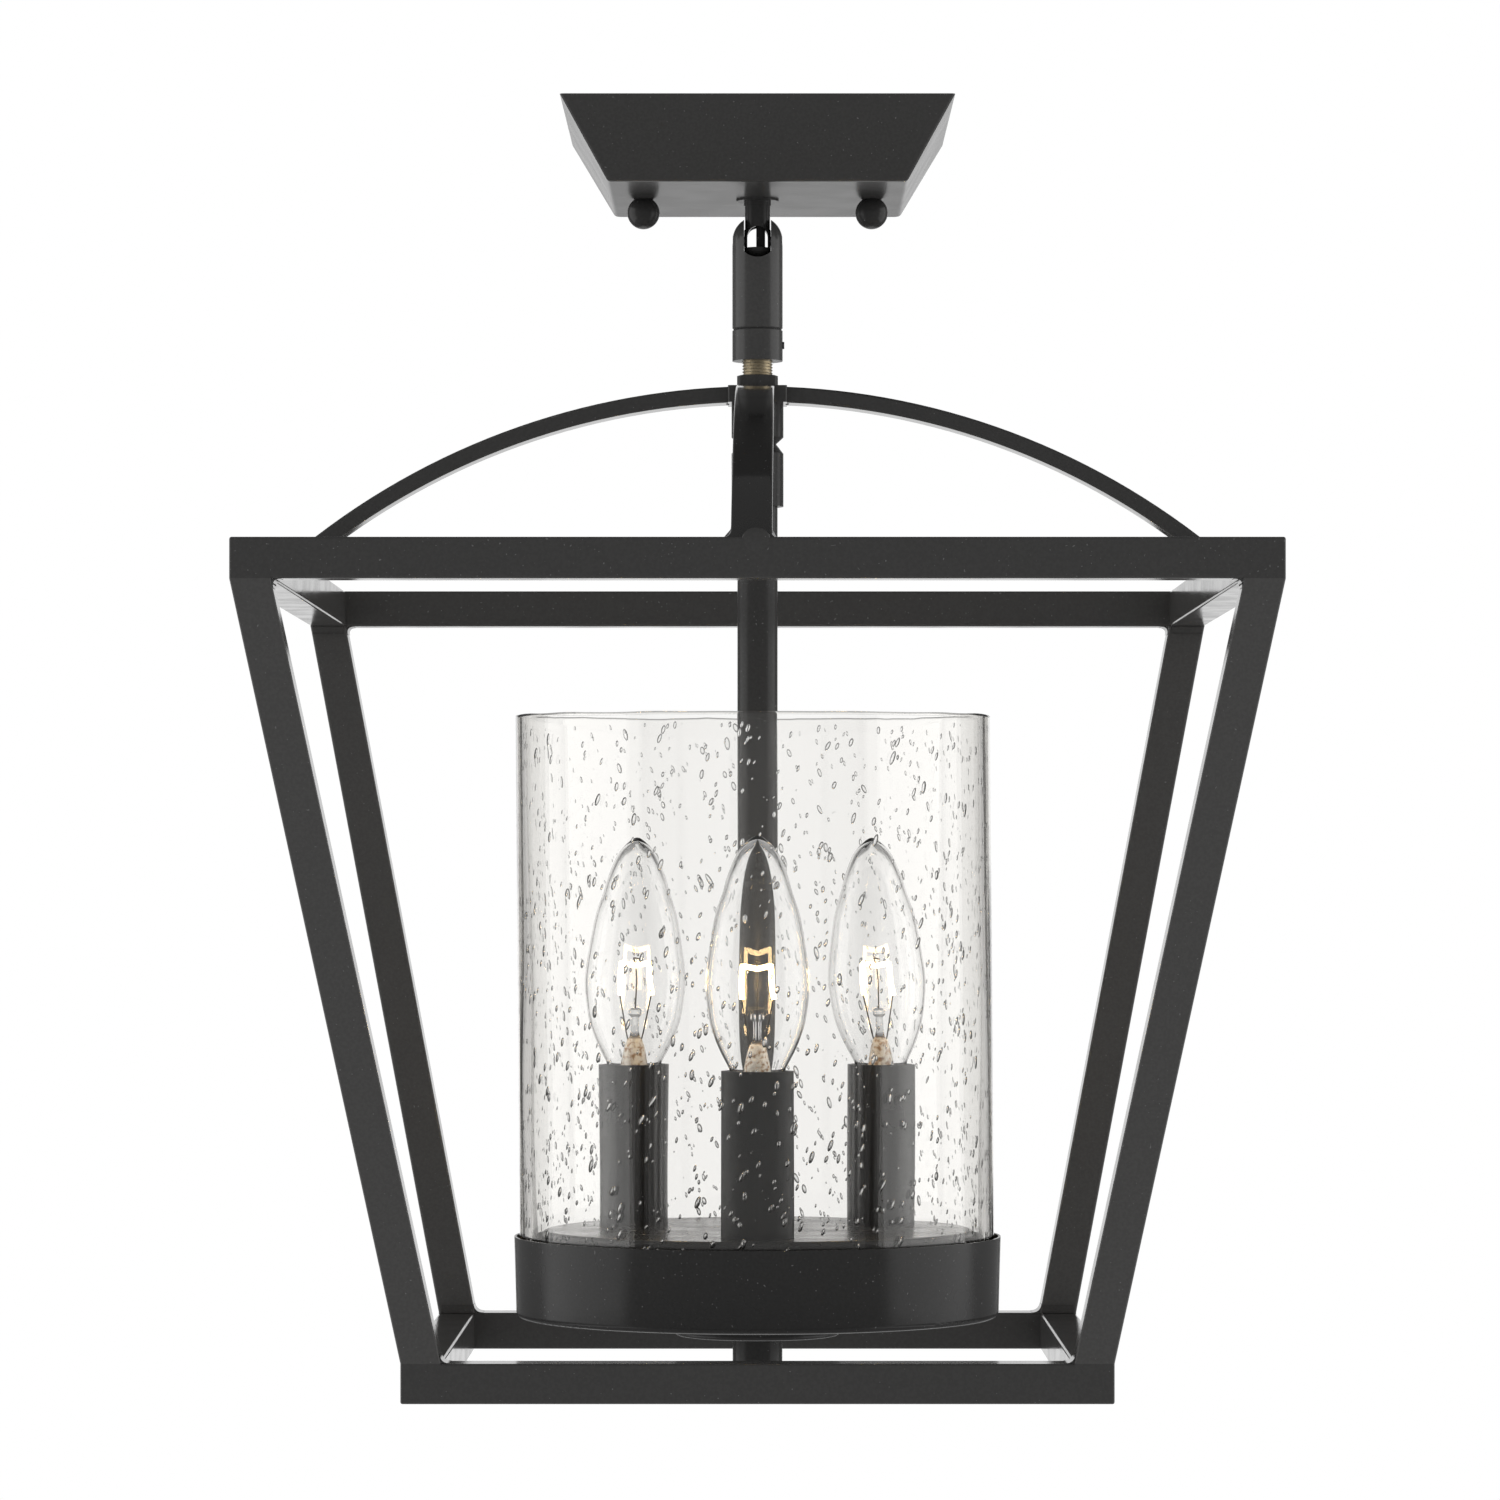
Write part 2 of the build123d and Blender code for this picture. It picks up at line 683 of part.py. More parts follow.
def make_finial():
    """Round nut that holds cap, pan and cover up against the stem."""
    body = rod(finial_diameter, cap_foot_level, finial_foot_level)
    foot_edges = body.edges().filter_by(GeomType.CIRCLE).group_by(Axis.Z)[0]
    body = fillet(foot_edges, finial_edge_radius)
    thread_foot = cap_foot_level - finial_thread_depth
    return body - rod(nipple_diameter + 2 * running_gap, cap_foot_level + overrun, thread_foot)


def make_glass():
    """Plain glass cylinder, open at both ends, with fire-polished rims."""
    top = glass_foot_level + glass_height
    glass = pipe(glass_diameter, glass_diameter - 2 * glass_wall, top, glass_foot_level)
    return fillet(glass.edges().filter_by(GeomType.CIRCLE), glass_edge_radius)


# Candles: sleeve, lampholder, its bracket, bolt, shell and contact


def make_sleeve():
    """Plain tube that dresses the lampholder as a candle."""
    return pipe(sleeve_diameter, sleeve_diameter - 2 * sleeve_wall, sleeve_top_level, cover_top_level)


def shell_bore():
    """Diameter inside the lampholder's screw shell."""
    return lamp_cap_diameter + 2 * lift_gap


def make_holder():
    """Moulded lampholder body with a bore for the screw shell."""
    top = holder_foot_level + holder_length
    body = rod(holder_diameter, top, holder_foot_level)
    outer = shell_bore() + 2 * shell_thickness
    body -= rod(outer, top + overrun, holder_foot_level + holder_floor)
    return body - rod(holder_lead_bore, top, holder_foot_level - overrun)


def make_holder_shell():
    """Brass screw shell in the lampholder."""
    top = holder_foot_level + holder_length - seat_gap
    outer = shell_bore() + 2 * shell_thickness - 2 * running_gap
    return pipe(outer, shell_bore(), top, top - shell_length)


def make_holder_contact():
    """Centre contact on the lampholder's floor, under the lamp's tip contact."""
    foot = holder_foot_level + holder_floor
    return rod(contact_diameter, lamp_foot_level - rest_gap, foot)


def make_bracket():
    """Steel bracket: a round foot on the cover and a leg up beside the lampholder."""
    foot_top = cover_top_level + bracket_thickness
    body = rod(bracket_foot_diameter, foot_top, cover_top_level)
    leg_top = holder_foot_level + bracket_leg_grip
    inner = holder_diameter / 2 + seat_gap
    leg = Box(bracket_thickness, bracket_leg_width, leg_top - cover_top_level)
    body += Pos(inner + bracket_thickness / 2, 0, (leg_top + cover_top_level) / 2) * leg
    shelf = Box(inner + bracket_thickness, bracket_leg_width, bracket_thickness)
    shelf_level = holder_foot_level - bracket_thickness / 2
    body += Pos((inner + bracket_thickness) / 2, 0, shelf_level) * shelf
    body &= rod(sleeve_diameter - 2 * sleeve_wall - 2 * seat_gap, leg_top, cover_top_level)
    body -= rod(nipple_diameter + 2 * running_gap, foot_top + overrun, cover_top_level - overrun)
    return body - rod(holder_lead_bore, holder_foot_level + overrun, shelf_level - bracket_thickness)


def make_holder_bolt():
    """Hollow bolt up through the cover into the bracket's foot, its head below."""
    head_top = cover_top_level - cover_wall
    head_foot = head_top - holder_bolt_head_height
    top = cover_top_level + holder_bolt_reach
    body = rod(nipple_diameter, top, head_foot)
    body += hexagon(holder_bolt_head_flats, head_top, head_foot)
    return body - rod(holder_bolt_bore, top + overrun, head_foot - overrun)


# Lamps


def lamp_outline(shrink):
    """Smooth outline of the lamp's glass as (radius, level) points, drawn in by a wall."""
    points = []
    for depth, width in zip(lamp_depth_shares, lamp_width_shares):
        level = lamp_tip_level - shrink - depth * (lamp_glass_length - shrink)
        points.append((max(0, width * lamp_glass_diameter / 2 - (shrink if depth else 0)), level))
    return points


def lamp_solid(shrink, foot):
    """Body of revolution inside one lamp outline, cut off flat at its foot."""
    points = lamp_outline(shrink)
    side = Spline(*points, tangents=[(1, 0), (0, -1)])
    axis_top = points[0]
    last = points[-1]
    rest = Polyline(last, (last[0], foot), (0, foot), axis_top)
    return revolve(Plane.XZ * make_face(side + rest), axis=Axis.Z)


def make_lamp_glass():
    """Clear torpedo bulb of glass, open at the neck inside the cap."""
    neck_foot = lamp_neck_level - neck_tail
    return lamp_solid(0, neck_foot) - lamp_solid(lamp_glass_wall, neck_foot - overrun)


def neck_diameter():
    """Outer diameter of the lamp's glass neck."""
    return lamp_width_shares[-1] * lamp_glass_diameter


def make_lamp_cap():
    """Screw cap with a skirt round the neck, insulator and tip contact, as one stack."""
    skirt_top = lamp_neck_level + lamp_cap_skirt_height / 2
    skirt_foot = skirt_top - lamp_cap_skirt_height
    shell_foot = skirt_top - lamp_cap_length
    tip_top = lamp_foot_level + lamp_tip_contact_height
    teeth = thread_teeth(lamp_cap_diameter, lamp_thread_depth, lamp_thread_pitch, skirt_foot, shell_foot)
    outline = [(0, lamp_foot_level), (lamp_tip_contact_diameter / 2, lamp_foot_level)]
    outline += [(lamp_tip_contact_diameter / 2, tip_top), (lamp_insulator_diameter / 2, shell_foot)]
    outline += [(lamp_cap_diameter / 2 - lamp_thread_depth, shell_foot)]
    outline += list(reversed(teeth))
    outline += [(lamp_cap_skirt_diameter / 2, skirt_foot), (lamp_cap_skirt_diameter / 2, skirt_top)]
    outline += [(0, skirt_top)]
    body = turned(outline)
    neck_foot = lamp_neck_level - neck_tail
    body -= rod(neck_diameter() + 2 * seat_gap, skirt_top + overrun, neck_foot - seat_gap)
    inner = lamp_cap_diameter - 2 * lamp_thread_depth - 2 * lamp_cap_wall
    return body - rod(inner, skirt_top, shell_foot + lamp_cap_wall)


def wire(*points):
    """Thin wire through points as round bars with a ball at each corner."""
    body = Pos(*points[0]) * Sphere(wire_diameter / 2)
    for start, end in zip(points, points[1:]):
        path = Line(start, end)
        profile = Plane(origin=start, z_dir=path % 0) * Circle(wire_diameter / 2)
        body += sweep(profile, path)
        body += Pos(*end) * Sphere(wire_diameter / 2)
    return body


def make_lamp_mount():
    """Glass foot and rod with the lead wires and the filament, in one piece."""
    foot = lamp_neck_level
    rod_top = foot + foot_height + rod_height
    flare = neck_diameter() / 2 - lamp_glass_wall
    body = turned([
        (0, foot - neck_tail),
        (flare, foot - neck_tail),
        (flare, foot),
        (foot_diameter / 2, foot + foot_flare_height),
        (rod_diameter / 2 + wire_diameter, foot + foot_height),
        (0, foot + foot_height),
    ])
    body += rod(rod_diameter, rod_top, foot + foot_height / 2)
    body += rod(button_diameter, rod_top, rod_top - button_height)
    top = lamp_tip_level - filament_drop
    low = top - filament_leg_height
    dip = top - filament_dip_share * filament_leg_height
    start = rod_diameter / 2
    lead_foot = foot + foot_height - wire_diameter
    body += wire(
        (-start, 0, lead_foot),
        (-filament_half_width, 0, low),
        (-filament_half_width, 0, top),
        (0, 0, dip),
        (filament_half_width, 0, top),
        (filament_half_width, 0, low),
        (start, 0, lead_foot),
    )
    body += wire((0, 0, rod_top - wire_diameter), (0, 0, dip))
    return body


# Leads


def make_lead_upper():
    """Insulated lead down the right side of the stud's bore to the foot of its eye."""
    top = canopy_face_level + stud_rise + lead_top_rise
    lead = Pos(lead_shift, 0, 0) * rod(lead_diameter, top, pivot_level - 2 * eye_end_radius)
    ball = Pos(0, 0, pivot_level) * Sphere(eye_end_radius)
    return lead & (ball + rod(stud_diameter, top, pivot_level))


def make_lead_lower():
    """The same lead from the swivel's bore down the stem to its branches."""
    foot = branch_level + branch_diameter / 2 + seat_gap
    return rod(lead_diameter, pivot_level - swivel_slot_floor_radius, foot)


def make_branch_lead():
    """Branch lead at the front candle: out of the nipple and up into the lampholder."""
    corner = -branch_bend_radius
    top = holder_foot_level + holder_floor - seat_gap
    start = branch_start_radius - candle_circle_radius
    bend_top = branch_level + branch_bend_radius
    across = corner + branch_bend_radius * sin(pi / 4)
    up = bend_top - branch_bend_radius * cos(pi / 4)
    path = Line((start, 0, branch_level), (corner, 0, branch_level))
    path += ThreePointArc((corner, 0, branch_level), (across, 0, up), (0, 0, bend_top))
    path += Line((0, 0, bend_top), (0, 0, top))
    profile = Plane(origin=(start, 0, branch_level), z_dir=(1, 0, 0)) * Circle(branch_diameter / 2)
    return sweep(profile, path)


save("canopy", make_canopy())
save("crossbar", make_crossbar())
save("canopy_screws", *make_canopy_screws())
save("ball_nuts", *make_ball_nuts())
save("stud", make_stud())
save("stud_washer", make_stud_washer())
save("stud_nut", make_stud_nut())
save("lead_upper", make_lead_upper())
save("swivel_body", make_swivel_body())
save("swivel_pins", *make_swivel_pins())
save("swivel_collar", make_swivel_collar())
save("snap_ring", make_snap_ring())
save("collar_set_screw", make_set_screw())
save("top_nipple", make_top_nipple())
save("hub_nut", make_hub_nut())
save("arch_hub", make_arch_hub())
for index, place in enumerate(["right", "back", "left", "front"]):
    save("arch_" + place, make_arch(index * quarter_turn))
save("upper_coupling", make_upper_coupling())
save("lower_coupling", make_lower_coupling())
save("centre_stem", make_centre_stem())
for index, place in enumerate(["front", "right", "back", "left"]):
    save("top_rail_" + place, make_rail(top_frame_side, top_frame_level, False, index * quarter_turn))
    save("bottom_rail_" + place, make_rail(bottom_frame_side, leg_foot_level, True, index * quarter_turn))
for index, place in enumerate(["back_right", "back_left", "front_left", "front_right"]):
    save("leg_" + place, make_leg(index * quarter_turn))
save("pan", make_pan())
save("pan_cover", make_pan_cover())
save("pan_nipple", make_pan_nipple())
save("pan_cap", make_pan_cap())
save("finial", make_finial())
save("glass_shade", make_glass())
save("lead_lower", make_lead_lower())
save("branch_leads", *pattern_on_candles(make_branch_lead))
save("lampholders", *pattern_on_candles(make_holder))
save("holder_shells", *pattern_on_candles(make_holder_shell))
save("holder_contacts", *pattern_on_candles(make_holder_contact))
save("holder_brackets", *pattern_on_candles(make_bracket))
save("holder_bolts", *pattern_on_candles(make_holder_bolt))
for index, sleeve in enumerate(pattern_on_candles(make_sleeve)):
    save("candle_sleeve_" + str(index + 1), sleeve)
for index, glass in enumerate(pattern_on_candles(make_lamp_glass)):
    save("lamp_" + str(index + 1) + "_glass", glass)
for index, cap in enumerate(pattern_on_candles(make_lamp_cap)):
    save("lamp_" + str(index + 1) + "_cap", cap)
for index, mount in enumerate(pattern_on_candles(make_lamp_mount)):
    save("lamp_" + str(index + 1) + "_mount", mount)
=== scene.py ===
import math

import bpy
import numpy as np
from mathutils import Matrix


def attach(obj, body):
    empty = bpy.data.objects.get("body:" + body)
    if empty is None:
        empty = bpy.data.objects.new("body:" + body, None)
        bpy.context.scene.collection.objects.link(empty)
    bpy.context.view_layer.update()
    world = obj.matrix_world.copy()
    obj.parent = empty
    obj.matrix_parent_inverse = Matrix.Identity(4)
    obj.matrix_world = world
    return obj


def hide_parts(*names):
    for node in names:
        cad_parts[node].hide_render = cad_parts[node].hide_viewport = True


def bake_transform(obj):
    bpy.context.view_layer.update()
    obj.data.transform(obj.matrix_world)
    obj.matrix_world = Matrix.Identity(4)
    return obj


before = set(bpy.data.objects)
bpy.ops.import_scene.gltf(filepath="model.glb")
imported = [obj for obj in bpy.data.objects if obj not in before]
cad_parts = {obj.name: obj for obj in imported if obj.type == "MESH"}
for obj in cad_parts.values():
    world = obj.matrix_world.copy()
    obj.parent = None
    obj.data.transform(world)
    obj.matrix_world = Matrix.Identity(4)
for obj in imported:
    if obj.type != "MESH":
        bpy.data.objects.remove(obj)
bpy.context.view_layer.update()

# Camera and studio
#
# The photograph looks level at the light from the front, from a little below the middle of its
# stem and a long way off. A white backdrop fills the view and not much more, two tall softboxes
# stand at the sides, and the rest of the studio is dim.
MM = 0.001
CAMERA_DISTANCE = 1758.6
CAMERA_LEVEL = -243.1
CAMERA_SENSOR_WIDTH, CAMERA_LENS = 36.0, 133.7
CAMERA_SHIFT = (-0.005, 0.0938)
# A turn is the angle between a direction and the middle of the backdrop, a rise is the upward
# part of a direction of length 1, and a level is a share of white.
MIDDLE_TURN = (math.radians(0.6), math.radians(2.2))
BACKDROP_TURN = (math.radians(14), math.radians(22))
BACKDROP_TOP_RISE = (math.sin(math.radians(14)), math.sin(math.radians(24)))
BACKDROP_FOOT_RISE = (-0.14, -0.08)
BACKDROP_SIDE_LEVEL = 0.97
FOOT_LEVEL = 0.42
FLOOR_RISE = (-0.5, -0.28)
DIM_LEVEL = 0.15
SIDE_TURN = (math.radians(50), math.radians(120))
SIDE_LEVELS_IN_GLASS = (0.74, 0.45)
STEEP_RISE = (0.12, 0.4)
STEEP_SHARE = 0.45
ROOM_TOP_RISE = (-0.1, 0.7)
ROOM_LEVEL, ROOM_TOP_LEVEL = 0.95, 0.2
ROOM_FOOT_RISE = (-0.8, 0.0)
ROOM_FOOT_SHARE = 0.6
SOFTBOX_OFFSET = 1450.0
SOFTBOX_TURN = math.radians(62)
SOFTBOX_HEIGHT = 2300.0
SOFTBOX_LEVEL = 0.8


def add(tree, kind, inputs=None, **settings):
    """One shader node, its settings and inputs; an input given as a socket is linked."""
    made = tree.nodes.new("ShaderNode" + kind)
    for key, value in settings.items():
        setattr(made, key, value)
    for key, value in (inputs or {}).items():
        if isinstance(value, bpy.types.NodeSocket):
            tree.links.new(value, made.inputs[key])
        else:
            made.inputs[key].default_value = value
    return made


def calc(tree, operation, *values):
    """The result of one Math node on sockets or numbers."""
    return add(tree, "Math", dict(enumerate(values)), operation=operation).outputs[0]


def ramp(tree, value, low, high, start=0.0, end=1.0):
    """Smooth change from start to end while the value goes from low to high."""
    made = add(tree, "MapRange", {"Value": value, "From Min": low, "From Max": high,
                                  "To Min": start, "To Max": end}, interpolation_type="SMOOTHSTEP")
    return made.outputs["Result"]


def blend_value(tree, share, first, second):
    """first where share is 0, second where it is 1."""
    made = add(tree, "Mix", {"Factor": share, "A": first, "B": second}, data_type="FLOAT")
    return made.outputs["Result"]


camera_data = bpy.data.cameras.new("camera")
camera_data.sensor_width = CAMERA_SENSOR_WIDTH
camera_data.lens = CAMERA_LENS
camera_data.shift_x, camera_data.shift_y = CAMERA_SHIFT
camera = bpy.data.objects.new("camera", camera_data)
camera.location = (0, -CAMERA_DISTANCE * MM, CAMERA_LEVEL * MM)
camera.rotation_euler = (math.pi / 2, 0, 0)
bpy.context.scene.collection.objects.link(camera)
bpy.context.scene.camera = camera
bpy.context.scene.view_settings.view_transform = "Standard"

world = bpy.data.worlds.new("studio")
world.use_nodes = True
bpy.context.scene.world = world
tree = world.node_tree
tree.nodes.clear()
ray = add(tree, "LightPath").outputs
way = add(tree, "SeparateXYZ", {"Vector": add(tree, "TexCoord").outputs["Generated"]}).outputs
rise = way["Z"]
turn = calc(tree, "ABSOLUTE", calc(tree, "ARCTAN2", way["X"], way["Y"]))
# What polished faces show: the backdrop, the pale floor at its foot, and the dim studio.
backdrop = calc(tree, "MULTIPLY", ramp(tree, turn, *BACKDROP_TURN, 1.0, 0.0),
                ramp(tree, rise, *BACKDROP_TOP_RISE, 1.0, 0.0))
backdrop = calc(tree, "MULTIPLY", backdrop,
                ramp(tree, turn, *MIDDLE_TURN, 1.0, BACKDROP_SIDE_LEVEL))
foot = calc(tree, "MAXIMUM", ramp(tree, rise, *BACKDROP_FOOT_RISE, FOOT_LEVEL, 1.0),
            ramp(tree, rise, *FLOOR_RISE, 1.0, 0.0))
studio = calc(tree, "MAXIMUM", calc(tree, "MULTIPLY", backdrop, foot), DIM_LEVEL)
# What glass shows: the backdrop, and beside it a paler studio.
aside = ramp(tree, turn, *SIDE_TURN, *SIDE_LEVELS_IN_GLASS)
steep = ramp(tree, calc(tree, "ABSOLUTE", rise), *STEEP_RISE, 1.0, STEEP_SHARE)
through = calc(tree, "MULTIPLY", backdrop, ramp(tree, rise, *BACKDROP_FOOT_RISE, DIM_LEVEL, 1.0))
through = calc(tree, "MAXIMUM", through, calc(tree, "MULTIPLY", aside, steep))
# What lights matt faces: a pale room, darker to its ceiling and its floor.
room = ramp(tree, rise, *ROOM_TOP_RISE, ROOM_LEVEL, ROOM_TOP_LEVEL)
room = calc(tree, "MULTIPLY", room, ramp(tree, rise, *ROOM_FOOT_RISE, ROOM_FOOT_SHARE, 1.0))
seen = blend_value(tree, ray["Is Glossy Ray"], room, studio)
seen = blend_value(tree, ray["Is Transmission Ray"], seen, through)
seen = blend_value(tree, ray["Is Camera Ray"], seen, 1.0)
background = add(tree, "Background", {"Color": (1, 1, 1, 1), "Strength": seen})
add(tree, "OutputWorld", {"Surface": background.outputs[0]})

for side in (-1, 1):
    light_data = bpy.data.lights.new("softbox", "AREA")
    light_data.shape = "RECTANGLE"
    light_data.size = SOFTBOX_HEIGHT * MM
    light_data.size_y = 2 * SOFTBOX_OFFSET / math.tan(SOFTBOX_TURN) * MM
    light_data.energy = SOFTBOX_LEVEL * math.pi * light_data.size * light_data.size_y
    light = bpy.data.objects.new("softbox", light_data)
    light.location = (side * SOFTBOX_OFFSET * MM, 0, CAMERA_LEVEL * MM)
    light.rotation_euler = (0, side * math.pi / 2, 0)
    bpy.context.scene.collection.objects.link(light)

# Black coat
#
# All the visible metal has one finish, a satin black baked paint over steel. Close to, it has
# the faint unevenness of sprayed paint and a few pale specks. Its level changes from part to
# part as painted light and shade: it is painted palest on the cage's legs and the swivel and a
# little darker on the straps. It is glossiest on the straps and dullest on the front candle sleeve.
COATS = {
    # name: level, painted light and shade where it is not the black coat's, refraction, least and
    # most roughness, the nodes it covers
    "black_coat": (0.034, 1.4, (0.20, 0.28), ()),
    "canopy_coat_painted_light": (0.049, 1.4, (0.22, 0.25), ("canopy",)),
    "frame_coat_painted_light": (0.056, 1.4, (0.11, 0.17), ("top_rail", "bottom_rail")),
    "leg_coat_painted_light": (0.073, 1.4, (0.11, 0.17), ("leg_",)),
    "stem_coat_painted_light": (0.044, 1.4, (0.20, 0.28), ("centre_stem",)),
    "swivel_coat_painted_light": (0.062, 1.5, (0.20, 0.28), ("swivel_body", "swivel_collar")),
    "arch_coat_painted_light": (0.048, 1.5, (0.05, 0.09), ("arch_", "hub_nut")),
    "strap_coat_painted_shade": (0.030, 1.6, (0.07, 0.12), ()),
    "sleeve_coat": (0.019, 1.65, (0.20, 0.28), ("candle_sleeve",)),
    "front_sleeve_coat": (0.019, 1.3, (0.30, 0.38), ("candle_sleeve_1",)),
}
COAT_CLOUD_SCALE, COAT_GRAIN_SCALE, COAT_SPECK_SCALE = 60.0, 1100.0, 1500.0
COAT_CLOUD_SPAN = (0.3, 0.7)
COAT_GRAIN_SPAN = (0.35, 0.65)
COAT_SPECK_SPAN = (0.80, 0.87)
COAT_GRAIN = 0.05
COAT_WARMTH = (1.0, 0.985, 0.97)
COAT_SPECK_LEVEL = 0.14
COAT_PEEL_DEPTH = 0.4


def new_material(name):
    """An empty node material, its tree and its Principled shader."""
    made = bpy.data.materials.new(name)
    made.use_nodes = True
    return made, made.node_tree, made.node_tree.nodes["Principled BSDF"]


def noise_value(tree, place, scale, detail):
    """The value of a smooth noise at a place."""
    made = add(tree, "TexNoise", {"Vector": place, "Scale": scale, "Detail": detail})
    return made.outputs["Fac"]


def blend_colour(tree, share, first, second):
    """first where share is 0, second where it is 1."""
    made = add(tree, "Mix", {"Factor": share, "A": first, "B": second}, data_type="RGBA")
    return made.outputs["Result"]


def coat_material(name, level, ior, roughness, orange_peel=0.012):
    """Sprayed coat: broad cloudy roughness, orange peel as a fine bump and a faint grain, and
    rare specks where a fine noise passes a high threshold."""
    made, tree, shader = new_material(name)
    place = add(tree, "TexCoord").outputs["Object"]
    cloud = noise_value(tree, place, COAT_CLOUD_SCALE, detail=3.0)
    grain = noise_value(tree, place, COAT_GRAIN_SCALE, detail=2.0)
    speck = noise_value(tree, place, COAT_SPECK_SCALE, detail=0.0)
    dark, light = [(*(level * (1 + change) * share for share in COAT_WARMTH), 1)
                   for change in (-COAT_GRAIN, COAT_GRAIN)]
    pale = (*[max(level, COAT_SPECK_LEVEL)] * 3, 1)
    colour = blend_colour(tree, ramp(tree, grain, *COAT_GRAIN_SPAN), dark, light)
    tint = blend_colour(tree, ramp(tree, speck, *COAT_SPECK_SPAN), colour, pale)
    tree.links.new(tint, shader.inputs["Base Color"])
    tree.links.new(ramp(tree, cloud, *COAT_CLOUD_SPAN, *roughness), shader.inputs["Roughness"])
    bump = add(tree, "Bump", {"Height": grain, "Strength": orange_peel,
                              "Distance": COAT_PEEL_DEPTH * MM})
    tree.links.new(bump.outputs["Normal"], shader.inputs["Normal"])
    shader.inputs["IOR"].default_value = ior
    return made


def finish_node(name, material):
    """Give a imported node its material."""
    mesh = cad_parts[name].data
    mesh.materials.clear()
    mesh.materials.append(material)


coats = {name: coat_material(name, *values[:3]) for name, values in COATS.items()}
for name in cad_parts:
    finish_node(name, coats["black_coat"])
    for coat, values in COATS.items():
        if name.startswith(values[3]):
            finish_node(name, coats[coat])

# Canopy
#
# A pressed steel pan, square at the ceiling and smaller below, 1 mm thick, its folded edges
# rounded so that they catch a thin line of light. Two ball nuts on the crossbar's screws hold it.
CANOPY_TOP_HALF, CANOPY_FACE_HALF = 60.325, 46.0
CANOPY_HEIGHT, CANOPY_WALL = 25.0, 1.0
CANOPY_SLANT_WALL = 1.2
CANOPY_CORNER, CANOPY_FOLD = 1.3, 1.1
CANOPY_CORNER_POWER = 0.2
CANOPY_HOLE = 4.1
GUARD_REACH = 0.3
MERGE_DISTANCE = 0.0005
SMALLEST_LENGTH = 1e-9


def soften(outline, radius, steps=4, closed=True):
    """Outline of (radius, level) points with each corner rounded by a quadratic arc that
    starts and ends a radius away, or at half of a shorter side."""
    outline = np.asarray(outline, float)
    before, after = np.roll(outline, 1, axis=0), np.roll(outline, -1, axis=0)
    reach = np.broadcast_to(np.asarray(radius, float), len(outline))[:, None]
    back, ahead = before - outline, after - outline
    long_back = np.linalg.norm(back, axis=1, keepdims=True) + SMALLEST_LENGTH
    long_ahead = np.linalg.norm(ahead, axis=1, keepdims=True) + SMALLEST_LENGTH
    start = outline + back / long_back * np.minimum(reach, long_back / 2)
    end = outline + ahead / long_ahead * np.minimum(reach, long_ahead / 2)
    if not closed:
        start[[0, -1]] = end[[0, -1]] = outline[[0, -1]]
    share = np.linspace(0, 1, steps + 1)[None, :, None]
    arcs = (1 - share) ** 2 * start[:, None] + 2 * share * (1 - share) * outline[:, None]
    return (arcs + share ** 2 * end[:, None]).reshape(-1, 2)


def guard(outline):
    """Outline with two more points in each straight run, a short reach from its ends, so that
    the shading of the round ends stays out of the run."""
    run = np.diff(outline, axis=0)
    length = np.linalg.norm(run, axis=1, keepdims=True)
    reach = np.where(length > 4 * GUARD_REACH, GUARD_REACH, 0)
    step = run / (length + SMALLEST_LENGTH) * reach
    rows = np.stack((outline[:-1], outline[:-1] + step, outline[1:] - step), axis=1)
    return np.concatenate((rows.reshape(-1, 2), outline[-1:]))


def square_ring(half, corner, level, steps=7):
    """Points of a square with rounded corners at one level, counted from the middle of the lower
    right corner; a corner as large as the half side makes it a circle."""
    corner = min(corner, half)
    straight = half - corner
    bend = np.linspace(-math.pi / 4, 0, steps)
    first = np.stack((straight + corner * np.cos(bend), corner * np.sin(bend) - straight), axis=1)
    inner = straight - min(GUARD_REACH, straight / 2)
    side = np.array(((half, -inner), (half, inner)))
    last = first[:0:-1] * (1, -1)
    quarter = np.concatenate((first, side, last))
    turns = ((1, 0), (0, 1), (-1, 0), (0, -1))
    ring = np.concatenate([quarter @ np.array(((c, s), (-s, c))) for c, s in turns])
    return np.concatenate((ring, np.full((len(ring), 1), level)), axis=1)


def surface(grid, close_rows=False):
    """Points of a grid and the four-cornered faces between neighbours; each row closes into a
    ring, and the last row meets the first if asked."""
    rows, columns = grid.shape[:2]
    down = np.arange(rows if close_rows else rows - 1)
    row, column = np.meshgrid(down, np.arange(columns), indexing="ij")
    row, column = row.ravel(), column.ravel()
    below, beside = (row + 1) % rows, (column + 1) % columns
    corners = (row * columns + column, row * columns + beside,
               below * columns + beside, below * columns + column)
    return grid.reshape(-1, 3), np.stack(corners, axis=1)


def outward(points, faces):
    """The faces, all turned round if the volume inside them, the sum of their corners' triple
    products, comes out below zero."""
    corners = points[faces]
    volume = np.einsum("ij,ij->", corners[:, 0], np.cross(corners[:, 1], corners[:, 2]))
    volume += np.einsum("ij,ij->", corners[:, 0], np.cross(corners[:, 2], corners[:, 3]))
    return faces[:, ::-1] if volume < 0 else faces


